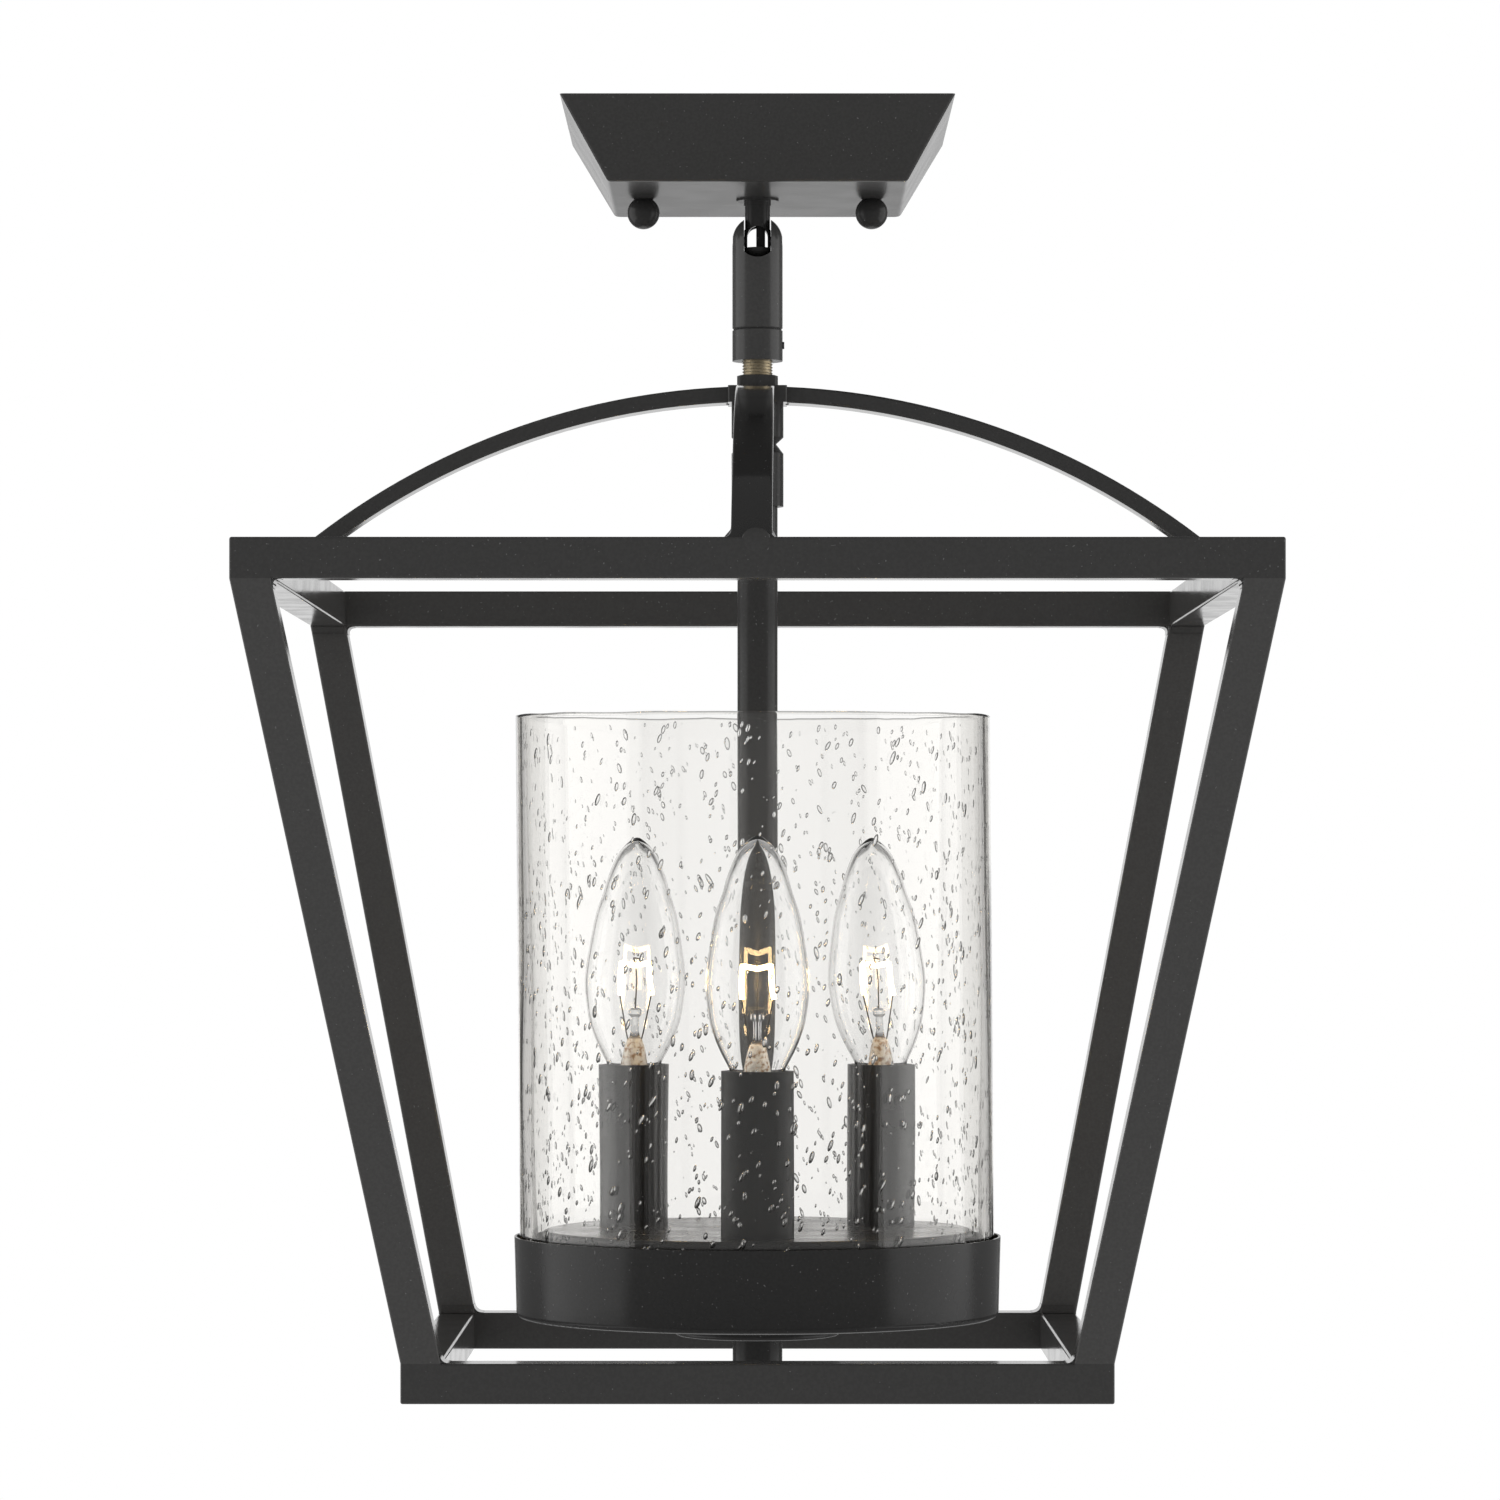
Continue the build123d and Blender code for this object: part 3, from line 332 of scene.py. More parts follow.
def mesh_of(*surfaces):
    """One mesh of closed surfaces, each its points in metres and its four-cornered faces; points
    that coincide become one, corners that coincide are dropped, and a mesh that comes out
    inside out is turned."""
    starts = np.cumsum([0] + [len(points) for points, _ in surfaces])
    points = np.concatenate([points for points, _ in surfaces])
    faces = np.concatenate([faces + start for (_, faces), start in zip(surfaces, starts)])
    faces = outward(points, faces)
    keys = np.round(points / (MM * MERGE_DISTANCE)).astype(np.int64)
    _, first, where = np.unique(keys, axis=0, return_index=True, return_inverse=True)
    points = points[first]
    faces = where.reshape(-1)[faces]
    used = faces != np.roll(faces, 1, axis=1)
    whole = used.sum(axis=1) >= 3
    faces, used = faces[whole], used[whole]
    starts = np.concatenate(([0], np.cumsum(used.sum(axis=1))[:-1]))
    loops = faces[used]
    mesh = bpy.data.meshes.new("mesh")
    mesh.vertices.add(len(points))
    mesh.vertices.foreach_set("co", points.astype(np.float32).ravel())
    mesh.loops.add(len(loops))
    mesh.loops.foreach_set("vertex_index", loops.astype(np.int32))
    mesh.polygons.add(len(starts))
    mesh.polygons.foreach_set("loop_start", starts.astype(np.int32))
    mesh.update(calc_edges=True)
    mesh.validate()
    return mesh


def place_piece(name, mesh, body, material, replaces=(), sharp=35):
    """A named piece at the origin with its material and smooth shading, that rides on a body when
    one is given, or is left unattached; the nodes it replaces are hidden."""
    piece = bpy.data.objects.new(name, mesh)
    bpy.context.scene.collection.objects.link(piece)
    mesh.materials.append(material)
    mesh.polygons.foreach_set("use_smooth", np.ones(len(mesh.polygons), dtype=bool))
    mesh.set_sharp_from_angle(angle=math.radians(sharp))
    if body:
        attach(piece, body)
    if replaces:
        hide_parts(*replaces)
    return piece


def canopy_mesh():
    """Rings of rounded squares from the hole in the face, out under it, over the folded edge, up
    the outside, and back the same way inside the wall."""
    outside = soften([(CANOPY_HOLE, -CANOPY_HEIGHT), (CANOPY_FACE_HALF, -CANOPY_HEIGHT),
                      (CANOPY_TOP_HALF, 0)], CANOPY_FOLD, steps=6, closed=False)
    inside = soften([(CANOPY_HOLE, -CANOPY_HEIGHT + CANOPY_WALL),
                     (CANOPY_FACE_HALF - CANOPY_WALL / 2, -CANOPY_HEIGHT + CANOPY_WALL),
                     (CANOPY_TOP_HALF - CANOPY_SLANT_WALL, 0)], CANOPY_FOLD, steps=6, closed=False)
    outline = np.concatenate((guard(outside), guard(inside[::-1])))
    share = np.clip((outline[:, 0] - CANOPY_HOLE) / (CANOPY_FACE_HALF - CANOPY_HOLE), 0, 1)
    corners = CANOPY_HOLE + (CANOPY_CORNER - CANOPY_HOLE) * share ** CANOPY_CORNER_POWER
    rings = [square_ring(half, corner, level) for (half, level), corner in zip(outline, corners)]
    return mesh_of(surface(np.array(rings) * MM, close_rows=True))


place_piece("canopy_pressing", canopy_mesh(), "canopy", coats["canopy_coat_painted_light"],
            ["canopy"])

# Nut on the hub
#
# A low hexagon nut, 12.9 mm over its flats, with its upper corners chamfered, coated with the
# cage; one of its corners looks to the front.
NUT_FLATS = 12.9
NUT_TOP, NUT_FOOT = -80.6, -84.3
NUT_FACE_RADIUS, NUT_CHAMFER_RADIUS = 6.25, 7.6
NUT_CHAMFER_DEPTH = 0.55
NUT_EDGE = 0.25
NUT_BORE_RADIUS = 4.9


def around(radius, angle, level, centre=(0, 0)):
    """Points in metres round an upright axis from a radius, a turn and a level in mm: x and y
    are the radius times the cosine and the sine of the turn."""
    x, y = radius * np.cos(angle) + centre[0], radius * np.sin(angle) + centre[1]
    return np.stack((x, y, np.broadcast_to(level, x.shape)), axis=-1) * MM


def nut_mesh(columns=120, steps=9):
    """Rings whose radius is that of a hexagon at each turn, its corners eased, but no more than
    a cone's above the flats: from the bore over the chamfer, down, and back to the bore."""
    angle = np.linspace(0, math.tau, columns, endpoint=False)
    off = np.abs((angle + math.pi / 6) % (math.pi / 3) - math.pi / 6)
    corner = NUT_FLATS / 2 / math.cos(math.pi / 6)
    hexagon = np.minimum(NUT_FLATS / 2 / np.cos(off), corner - NUT_EDGE)
    share = np.linspace(0, 1, steps)
    cone = NUT_FACE_RADIUS + (NUT_CHAMFER_RADIUS - NUT_FACE_RADIUS) * share[:, None]
    bore = np.full((1, columns), NUT_BORE_RADIUS)
    radius = np.concatenate((bore, np.minimum(cone, hexagon), hexagon[None], bore))
    level = np.concatenate(([NUT_TOP], NUT_TOP - NUT_CHAMFER_DEPTH * share, [NUT_FOOT, NUT_FOOT]))
    return mesh_of(surface(around(radius, angle, level[:, None]), close_rows=True))


place_piece("nut_hexagon", nut_mesh(), "lantern", coats["arch_coat_painted_light"], ["hub_nut"],
            sharp=20)

# Front arch
#
# A flat steel bar, 12 by 5 mm, rolled to an arc. It sits a little to the left of the middle and
# more so at its foot, where weld fillets flare out over the top rail and a drip of weld hangs
# over the rail's front edge. The other arches have beads of weld where they meet the hub.
STRAP_WIDTH, STRAP_THICKNESS = 12.0, 5.0
STRAP_EDGE_RADIUS = 0.9
ARCH_RADIUS, ARCH_CENTRE = 228.09, -312.4
STRAP_START, STRAP_END = 9.3, 151.2
STRAP_SHIFT = (-0.55, -1.75)
STRAP_FLARES = (2.4, 1.5)
STRAP_FINE_SHARE = 0.92
RAIL_TOP = -141.0
DRIP_CENTRE = (-0.4, -151.95, -142.0)
DRIP_RADII = (4.2, 0.95, 3.7)
HUB_WELD_OUT, HUB_WELD_LEVEL = 9.4, -87.2
HUB_WELD_DEPTH, HUB_WELD_LENGTH, HUB_WELD_HEIGHT = 1.3, 5.6, 2.7


def capped(grid):
    """A grid of rings with its first and its last ring closed to their middles."""
    ends = np.broadcast_to(grid[[0, -1]].mean(axis=1, keepdims=True), (2, *grid.shape[1:]))
    return np.concatenate((ends[:1], grid, ends[1:]))


def strap_mesh(steps=70, foot_steps=60):
    """The bar's rounded section at steps along the arc, finer at its foot, shifted to the left
    in step with the way out. Within a fillet's radius of the rail each side flares by that
    radius times one minus the square root of one minus the square of its share of the depth."""
    half = STRAP_WIDTH / 2
    section = soften([(-half, 0), (half, 0), (half, -STRAP_THICKNESS), (-half, -STRAP_THICKNESS)],
                     STRAP_EDGE_RADIUS, steps=5)
    edge = [math.asin(out / ARCH_RADIUS) for out in (STRAP_START, STRAP_END)]
    step = np.concatenate((np.linspace(0, STRAP_FINE_SHARE, steps),
                           np.linspace(STRAP_FINE_SHARE, 1, foot_steps)[1:]))
    angle = (edge[0] + (edge[1] - edge[0]) * step)[:, None]
    radius = ARCH_RADIUS + section[:, 1]
    out, level = radius * np.sin(angle), ARCH_CENTRE + radius * np.cos(angle)
    share = (out - STRAP_START) / (STRAP_END - STRAP_START)
    across = np.broadcast_to(section[:, 0], out.shape).copy()
    for side, reach in zip((-1, 1), STRAP_FLARES):
        depth = np.clip(1 - (level - RAIL_TOP) / reach, 0, 1)
        flare = reach * (1 - np.sqrt(1 - depth ** 2))
        across += np.where(side * across > 0, side * flare, 0)
    across += STRAP_SHIFT[0] + (STRAP_SHIFT[1] - STRAP_SHIFT[0]) * share
    return mesh_of(surface(capped(np.stack((across, -out, level), axis=-1) * MM)))


def ball(columns, rows):
    """Surface of a unit ball: rows from pole to pole and columns round it."""
    polar = np.linspace(0, math.pi, rows)[:, None]
    turn = np.linspace(0, math.tau, columns, endpoint=False)
    return surface(np.stack((np.sin(polar) * np.cos(turn), np.sin(polar) * np.sin(turn),
                             np.broadcast_to(np.cos(polar), (rows, columns))), axis=-1))


def beads(places):
    """Flattened balls let into the metal, each at its centre and with its radii in mm."""
    points, faces = ball(columns=40, rows=17)
    return mesh_of(*(((points * radii + centre) * MM, faces) for centre, radii in places))


hub_welds = [((side * HUB_WELD_OUT, 0, HUB_WELD_LEVEL),
              (HUB_WELD_DEPTH, HUB_WELD_LENGTH, HUB_WELD_HEIGHT)) for side in (-1, 1)]
hub_welds.append(((0, HUB_WELD_OUT, HUB_WELD_LEVEL),
                  (HUB_WELD_LENGTH, HUB_WELD_DEPTH, HUB_WELD_HEIGHT)))
place_piece("strap_front", strap_mesh(), "lantern", coats["strap_coat_painted_shade"],
            ["arch_front"])
place_piece("strap_weld", beads([(DRIP_CENTRE, DRIP_RADII)]), "lantern",
            coats["frame_coat_painted_light"])
place_piece("hub_welds", beads(hub_welds), "lantern", coats["strap_coat_painted_shade"])

# Welds of the cage
#
# Where a leg meets a frame the weld fills the inner corner with a small hollow curve, on each of
# the cage's four sides.
CAGE_CORNERS = (
    # half of the opening, distance of the side from the middle, level of the corner, way to the leg
    (140.2, 146.3, -153.1, -1),
    (93.9, 99.9, -383.4, 1),
)
WELD_REACH, WELD_HALF_DEPTH = 2.6, 5.2


def weld_mesh(steps=21):
    """Closed prisms in the openings' corners c: each section runs through c and the curve
    c + reach ((1 - t)^2 u + t^2 v), with u along the rail, v along the leg, t from 0 to 1."""
    share = np.linspace(0, 1, steps)[:, None]
    top, foot = np.array(CAGE_CORNERS)[:, [0, 2]]
    leg = (top - foot) / np.linalg.norm(top - foot)
    solids = []
    for half, out, level, up in CAGE_CORNERS:
        curve = (1 - share) ** 2 * np.array((-1, 0)) + share ** 2 * up * leg
        section = np.concatenate((np.zeros((1, 2)), curve * WELD_REACH)) + (half, level)
        corner = np.broadcast_to(section[:1], section.shape)
        rows = np.stack((corner, section, section, corner))
        depth = out + WELD_HALF_DEPTH * np.array((-1, -1, 1, 1))[:, None]
        depth = np.broadcast_to(depth, rows.shape[:2])
        front = np.stack((rows[..., 0], depth, rows[..., 1]), axis=-1) * MM
        for mirror in ((-1, -1, 1), (-1, 1, 1), (1, -1, 1), (1, 1, 1)):
            for grid in (front, front[..., (1, 0, 2)]):
                points, faces = surface(grid * mirror)
                solids.append((points, outward(points, faces)))
    return mesh_of(*solids)


place_piece("cage_welds", weld_mesh(), "lantern", coats["frame_coat_painted_light"])

# Plain metals
#
# The crossbar, its screws, the nut inside, the nipples and the lampholders' brackets and bolts
# are zinc plated steel. The lampholders' shells and contacts and the lamps' screw caps are
# brass, and the snap ring, the pins and the set screw are bare spring steel.
ZINC_COLOUR = (0.92, 0.83, 0.66, 1)
BRASS_COLOUR = (0.80, 0.60, 0.30, 1)
SPRING_COLOUR = (0.30, 0.30, 0.31, 1)
METAL_CLOUD_SCALE = 140.0
METAL_MOTTLE_SPAN = (0.35, 0.7)
METAL_DULL_SHARE = 0.7
METAL_GLOSS_SPAN = (0.3, 0.7)
METAL_GLOSS_SPREAD = 0.15


def metal_material(name, colour, roughness):
    """Bare or plated metal: its colour is mottled a little, and so is its gloss."""
    made, tree, shader = new_material(name)
    place = add(tree, "TexCoord").outputs["Object"]
    cloud = noise_value(tree, place, METAL_CLOUD_SCALE, detail=4.0)
    dull = (*(METAL_DULL_SHARE * channel for channel in colour[:3]), 1)
    tint = blend_colour(tree, ramp(tree, cloud, *METAL_MOTTLE_SPAN), colour, dull)
    gloss = ramp(tree, cloud, *METAL_GLOSS_SPAN, roughness, roughness + METAL_GLOSS_SPREAD)
    tree.links.new(tint, shader.inputs["Base Color"])
    tree.links.new(gloss, shader.inputs["Roughness"])
    shader.inputs["Metallic"].default_value = 1.0
    return made


zinc = metal_material("zinc", ZINC_COLOUR, roughness=0.38)
brass = metal_material("brass", BRASS_COLOUR, roughness=0.22)
spring_steel = metal_material("spring_steel", SPRING_COLOUR, roughness=0.3)
for name in ("crossbar", "canopy_screws", "stud_nut", "pan_nipple", "holder_bolts",
             "holder_brackets"):
    finish_node(name, zinc)
for name in ("holder_shells", "holder_contacts"):
    finish_node(name, brass)
for name in ("snap_ring", "swivel_pins", "collar_set_screw"):
    finish_node(name, spring_steel)

# Lampholder bodies
#
# The three holders' bodies are moulded of black thermoset, matt. Each stands in its bracket,
# hidden in its candle sleeve.
phenolic = coat_material("phenolic", level=0.02, ior=1.4, roughness=(0.55, 0.7), orange_peel=0.1)
finish_node("lampholders", phenolic)

# Threaded nipple between the collar and the hub
#
# A hollow rod of 9.7 mm with a rolled thread of 27 turns to the inch, zinc plated, bare for
# 4.6 mm between the collar and the nut.
NIPPLE_RADIUS = 4.85
NIPPLE_BORE_RADIUS = 3.0
NIPPLE_TOP, NIPPLE_FOOT = -68.5, -112.7
THREAD_TOP, THREAD_FOOT = -75.6, -81.0
THREAD_PITCH = 0.94
THREAD_DEPTH = 0.55


def nipple_mesh(columns=72, rows_per_turn=10):
    """Tube whose outside carries a screw thread on one stretch: the radius falls by the depth
    times a triangle wave of (level / pitch + turn), eased in and out at the stretch's ends."""
    rows = int((THREAD_TOP - THREAD_FOOT) / THREAD_PITCH * rows_per_turn)
    level = np.concatenate(([NIPPLE_TOP], np.linspace(THREAD_TOP, THREAD_FOOT, rows), [NIPPLE_FOOT]))
    angle = np.linspace(0, math.tau, columns, endpoint=False)
    phase = level[:, None] / THREAD_PITCH + angle / math.tau
    wave = 1 - np.abs(2 * (phase - np.floor(phase)) - 1)
    inside = np.minimum(THREAD_TOP - level, level - THREAD_FOOT)
    ease = np.clip(inside / (THREAD_PITCH / 2), 0, 1)[:, None]
    outside = NIPPLE_RADIUS - THREAD_DEPTH * wave * ease
    radius = np.concatenate((outside, np.full((2, columns), NIPPLE_BORE_RADIUS)))
    level = np.concatenate((level, [NIPPLE_FOOT, NIPPLE_TOP]))
    return mesh_of(surface(around(radius, angle, level[:, None]), close_rows=True))


place_piece("nipple_threaded", nipple_mesh(), "lantern", zinc, ["top_nipple"])

# Glass cylinder
#
# Clear soda glass, blown and cut, 150 mm across with a 3.4 mm wall full of drawn-out air seeds
# that lean a little; its walls wander and its cut rims are melted round. It stands loose in the
# pan's ring.
GLASS_RADIUS, GLASS_WALL = 75.0, 3.4
GLASS_ROOM = 0.1
GLASS_TOP, GLASS_FOOT = -187.6, -376.1
GLASS_RIM_RADII = (0.6, 0.4, 0.8, 0.6)
GLASS_RIM_STEPS = 7
GLASS_COLUMNS, GLASS_ROWS = 128, 32
GLASS_GUARD_SHARE = 0.0015
# A wave or a ripple is the size of an unevenness in mm, a twist is its change in radians per mm
# of height, and a pace is how many times finer it is than the wall's own, round it and up it.
WANDER_PARTS, WANDER_TURNS, WANDER_TWIST = 7, (1, 9), 0.09
OUTER_WAVE, OUTER_SINK = 0.05, 0.06
INNER_WAVE = 0.11
RIM_REACH = 2.2
RIM_RIPPLE, RIM_RIPPLE_PACE = 0.10, (11, 9)
RIM_WAVE, RIM_WAVE_PACE, RIM_SINK = 0.22, 3, 0.08
GLASS_LEAN = -1.5
GLASS_RIM_TILT = 1.1
GLASS_REFRACTION = 1.5
GLASS_ABSORPTION = 9.0
GLASS_TINT = (0.72, 0.50, 0.03, 1)
GLASS_SHADOW = (0.97, 0.97, 0.97, 1)
SEED_LEAN, SEED_LEAN_SPREAD = math.radians(15), 0.10
SEED_CROWDING = 1.3
SEED_FLATTENING = 0.33
SEED_SIZES = (0.62, 1.3)
SEED_STRETCHES = (0.75, 1.2)
SEED_FOOT_ROOM, SEED_TOP_ROOM, SEED_WALL_ROOM = 1.5, 3.0, 0.35
SEED_KINDS = (
    # count, half width, half height, half depth in mm, columns, rows of one seed
    (900, 0.72, 1.45, 0.60, 10, 7),
    (1900, 0.42, 0.85, 0.36, 6, 5),
    (700, 0.20, 0.34, 0.18, 4, 4),
)


def glass_material(name, tint=None, density=0.0):
    """Clear glass that lets lamps' light through to what is behind it and, with a density,
    takes up a little of what passes along its wall."""
    made, tree, shader = new_material(name)
    output = tree.nodes["Material Output"].inputs
    shader.inputs["Base Color"].default_value = (1, 1, 1, 1)
    shader.inputs["Roughness"].default_value = 0.0
    shader.inputs["Transmission Weight"].default_value = 1.0
    shader.inputs["IOR"].default_value = GLASS_REFRACTION
    clear = add(tree, "BsdfTransparent", {"Color": GLASS_SHADOW})
    ray = add(tree, "LightPath").outputs
    passing = calc(tree, "MAXIMUM", ray["Is Shadow Ray"], ray["Is Diffuse Ray"])
    mixed = add(tree, "MixShader", {0: passing, 1: shader.outputs[0], 2: clear.outputs[0]})
    tree.links.new(mixed.outputs[0], output["Surface"])
    if density:
        haze = add(tree, "VolumeAbsorption", {"Color": tint, "Density": density})
        tree.links.new(haze.outputs[0], output["Volume"])
    return made


def wander(angle, level, seed, size):
    """A smooth unevenness over turn and level: the mean of sines of whole turns and long waves."""
    noise = np.random.default_rng(seed)
    turns = noise.integers(*WANDER_TURNS, WANDER_PARTS)
    waves = noise.uniform(-WANDER_TWIST, WANDER_TWIST, WANDER_PARTS)
    phases = noise.uniform(0, math.tau, WANDER_PARTS)
    parts = np.sin(angle[..., None] * turns + level[..., None] * waves + phases)
    return size * parts.mean(axis=-1)


def glass_wall():
    """Surface of the wall: up the outside, over the melted rim, down the inside and under the
    foot. Both faces wander, and near the rim the inside ripples finely."""
    outer, inner = GLASS_RADIUS - GLASS_ROOM, GLASS_RADIUS - GLASS_WALL
    arcs = soften([(outer, GLASS_FOOT), (outer, GLASS_TOP), (inner, GLASS_TOP),
                   (inner, GLASS_FOOT)], GLASS_RIM_RADII, steps=GLASS_RIM_STEPS)
    arcs = arcs.reshape(4, GLASS_RIM_STEPS + 1, 2)
    steps = np.linspace(0, 1, GLASS_ROWS)[:, None]
    steps[[0, -1]] = [[GLASS_GUARD_SHARE], [1 - GLASS_GUARD_SHARE]]
    up, down = [arcs[corner, -1] + (arcs[corner + 1, 0] - arcs[corner, -1]) * steps
                for corner in (0, 2)]
    outline = np.concatenate((arcs[0], up, arcs[1], arcs[2], down, arcs[3]))
    angle = np.broadcast_to(np.linspace(0, math.tau, GLASS_COLUMNS, endpoint=False),
                            (len(outline), GLASS_COLUMNS))
    level = np.broadcast_to(outline[:, 1:], angle.shape)
    radius = np.broadcast_to(outline[:, :1], angle.shape)
    inside = np.clip((outer - radius) / GLASS_WALL, 0, 1)
    outer_wave = wander(angle, level, seed=3, size=OUTER_WAVE) - OUTER_SINK
    inner_wave = wander(angle, level, seed=4, size=INNER_WAVE)
    near_rim = np.exp(-(GLASS_TOP - level) / RIM_REACH)
    ripple = wander(angle * RIM_RIPPLE_PACE[0], level * RIM_RIPPLE_PACE[1], seed=5,
                    size=RIM_RIPPLE)
    inner_wave += near_rim * ripple
    radius = np.minimum(radius + outer_wave * (1 - inside) + inner_wave * inside, GLASS_RADIUS)
    rim = wander(angle * RIM_WAVE_PACE, np.zeros_like(level), seed=6, size=RIM_WAVE) - RIM_SINK
    return surface(around(radius, angle, level + near_rim * rim), close_rows=True)


def seeds(kind, noise):
    """Air seeds of one kind: balls stretched along the wall's height, leant over by a shear and
    scattered through the wall, their sizes drawn evenly; towards the top of the glass they are
    fewer and flatter."""
    count, half_width, half_height, half_depth, columns, rows = kind
    points, faces = ball(columns, rows)
    size = noise.uniform(*SEED_SIZES, (count, 1))
    turn = noise.uniform(0, math.tau, (count, 1))
    share = noise.uniform(0, 1, (count, 1)) ** SEED_CROWDING
    low, high = GLASS_FOOT + SEED_FOOT_ROOM, GLASS_TOP - SEED_TOP_ROOM
    level = low + (high - low) * share
    half_depth = half_depth * (1 + (SEED_FLATTENING - 1) * share)
    spare = GLASS_WALL / 2 - SEED_WALL_ROOM - half_depth * SEED_SIZES[1]
    depth = GLASS_RADIUS - GLASS_WALL / 2 + noise.uniform(-1, 1, (count, 1)) * spare
    slope = np.tan(SEED_LEAN + noise.normal(0, SEED_LEAN_SPREAD, (count, 1)))
    height = points[:, 2] * half_height * size * noise.uniform(*SEED_STRETCHES, (count, 1))
    across = points[:, 0] * half_width * size + height * slope
    radius = depth + points[:, 1] * half_depth * size
    made = around(radius, turn + across / GLASS_RADIUS, level + height)
    shift = (np.arange(count) * len(points))[:, None, None]
    return made.reshape(-1, 3), (faces[None] + shift).reshape(-1, 4)


def out_of_square(points):
    """The glass's points as it was cut, a little out of square: it leans to the left and its rim
    is higher at the back, both in step with the height."""
    share = (points[:, 2] / MM - GLASS_FOOT) / (GLASS_TOP - GLASS_FOOT)
    back = points[:, 1] / (GLASS_RADIUS * MM)
    sideways, upward = GLASS_LEAN * share, GLASS_RIM_TILT * back * share
    return points + np.stack((sideways, np.zeros_like(share), upward), axis=1) * MM


def glass_mesh():
    """The wall's closed surface with the seeds' surfaces as hollows in it, faces towards the
    air."""
    points, faces = glass_wall()
    surfaces = [(out_of_square(points), outward(points, faces))]
    noise = np.random.default_rng(seed=11)
    for kind in SEED_KINDS:
        points, faces = seeds(kind, noise)
        surfaces.append((out_of_square(points), outward(points, faces)[:, ::-1]))
    return mesh_of(*surfaces)


shade_glass = glass_material("shade_glass", GLASS_TINT, GLASS_ABSORPTION)
place_piece("glass_cylinder", glass_mesh(), "shade", shade_glass, ["glass_shade"],
            sharp=100)

# Lamps
#
# Three clear torpedo lamps with a candelabra screw cap: thin blown glass, drawn in to a blunt
# tip, sealed below to a glass foot and rod that carry the filament on two lead wires.
CANDLE_CIRCLE_RADIUS = 46.0
CANDLE_TURNS = [math.radians(turn) for turn in (-90, 30, 150)]
LAMP_TIP, LAMP_NECK = -226.1, -305.5
LAMP_OUTLINE = (
    # radius, depth below the tip
    (0.0, 0.0), (3.25, 1.9), (6.3, 5.5), (9.1, 12.1), (10.6, 17.2), (12.8, 23.9), (14.15, 31.0),
    (15.65, 41.2), (15.9, 47.5), (14.8, 56.5), (13.4, 61.6), (11.35, 66.6), (8.7, 71.8),
    (6.9, 76.6), (6.44, 79.4),
)
LAMP_WALL, LAMP_TIP_WALL = 0.6, 2.0
LAMP_TIP_REACH = 9.0
LAMP_LEANS = (0.0, -3.0, 1.2)


def curve_through(points, steps):
    """Smooth curve through points: between two points a cubic that keeps the slope set by their
    neighbours."""
    points = np.asarray(points, float)
    before, after = 2 * points[:1] - points[1:2], 2 * points[-1:] - points[-2:-1]
    padded = np.concatenate((before, points, after))
    p0, p1, p2, p3 = (padded[shift:shift + len(points) - 1, None] for shift in range(4))
    t = np.linspace(0, 1, steps, endpoint=False)[None, :, None]
    curve = p1 + t / 2 * (p2 - p0) + t ** 2 / 2 * (2 * p0 - 5 * p1 + 4 * p2 - p3)
    curve = curve + t ** 3 / 2 * (3 * p1 - 3 * p2 + p3 - p0)
    return np.concatenate((curve.reshape(-1, 2), points[-1:]))


def lamp_outline(steps=8):
    """Closed outline of the blown glass: down the outside from the tip, up the inside, the wall
    drawn in square to the outside and thicker at the tip. The curve starts in the mirror image
    of the first points, so that it is level at the tip."""
    mirror = [(-radius, depth) for radius, depth in LAMP_OUTLINE[2:0:-1]]
    outside = curve_through(mirror + list(LAMP_OUTLINE), steps)[len(mirror) * steps:]
    outside[0] = (0.0, 0.0)
    slope = np.gradient(outside, axis=0)
    slope /= np.linalg.norm(slope, axis=1, keepdims=True)
    wall = LAMP_WALL + (LAMP_TIP_WALL - LAMP_WALL) * np.exp(-outside[:, 1] / LAMP_TIP_REACH)
    inside = outside + np.stack((-slope[:, 1], slope[:, 0]), axis=1) * wall[:, None]
    inside[0, 0] = 0.0
    inside[-1] = (outside[-1, 0] - LAMP_WALL, outside[-1, 1])
    inside[:, 0] = np.maximum(inside[:, 0], 0.0)
    closed = np.concatenate((outside, inside[::-1]))
    return np.stack((closed[:, 0], LAMP_TIP - closed[:, 1]), axis=1)


def turned(outline, centre, columns, close_rows=False):
    """Surface of an outline of (radius, level) turned about an upright axis at the centre."""
    outline = np.asarray(outline, float)
    angle = np.linspace(0, math.tau, columns, endpoint=False)
    return surface(around(outline[:, :1], angle, outline[:, 1:], centre), close_rows)


def lean(piece, index):
    """Lean a piece of one lamp sideways from its neck up, by so many mm at the tip."""
    mesh = piece.data
    points = np.empty(3 * len(mesh.vertices), np.float32)
    mesh.vertices.foreach_get("co", points)
    points = points.reshape(-1, 3)
    share = np.clip((points[:, 2] / MM - LAMP_NECK) / (LAMP_TIP - LAMP_NECK), 0, None)
    points[:, 0] += LAMP_LEANS[index] * MM * share
    mesh.vertices.foreach_set("co", points.ravel())
    mesh.update()


candle_places = [(CANDLE_CIRCLE_RADIUS * math.cos(turn), CANDLE_CIRCLE_RADIUS * math.sin(turn))
                 for turn in CANDLE_TURNS]
lamp_glass = glass_material("lamp_glass")
for index, centre in enumerate(candle_places):
    lamp = "lamp_%d" % (index + 1)
    bulb = mesh_of(turned(lamp_outline(), centre, columns=96, close_rows=True))
    lean(place_piece(lamp + "_bulb", bulb, lamp, lamp_glass, [lamp + "_glass"],
                     sharp=80), index)
    finish_node(lamp + "_cap", brass)

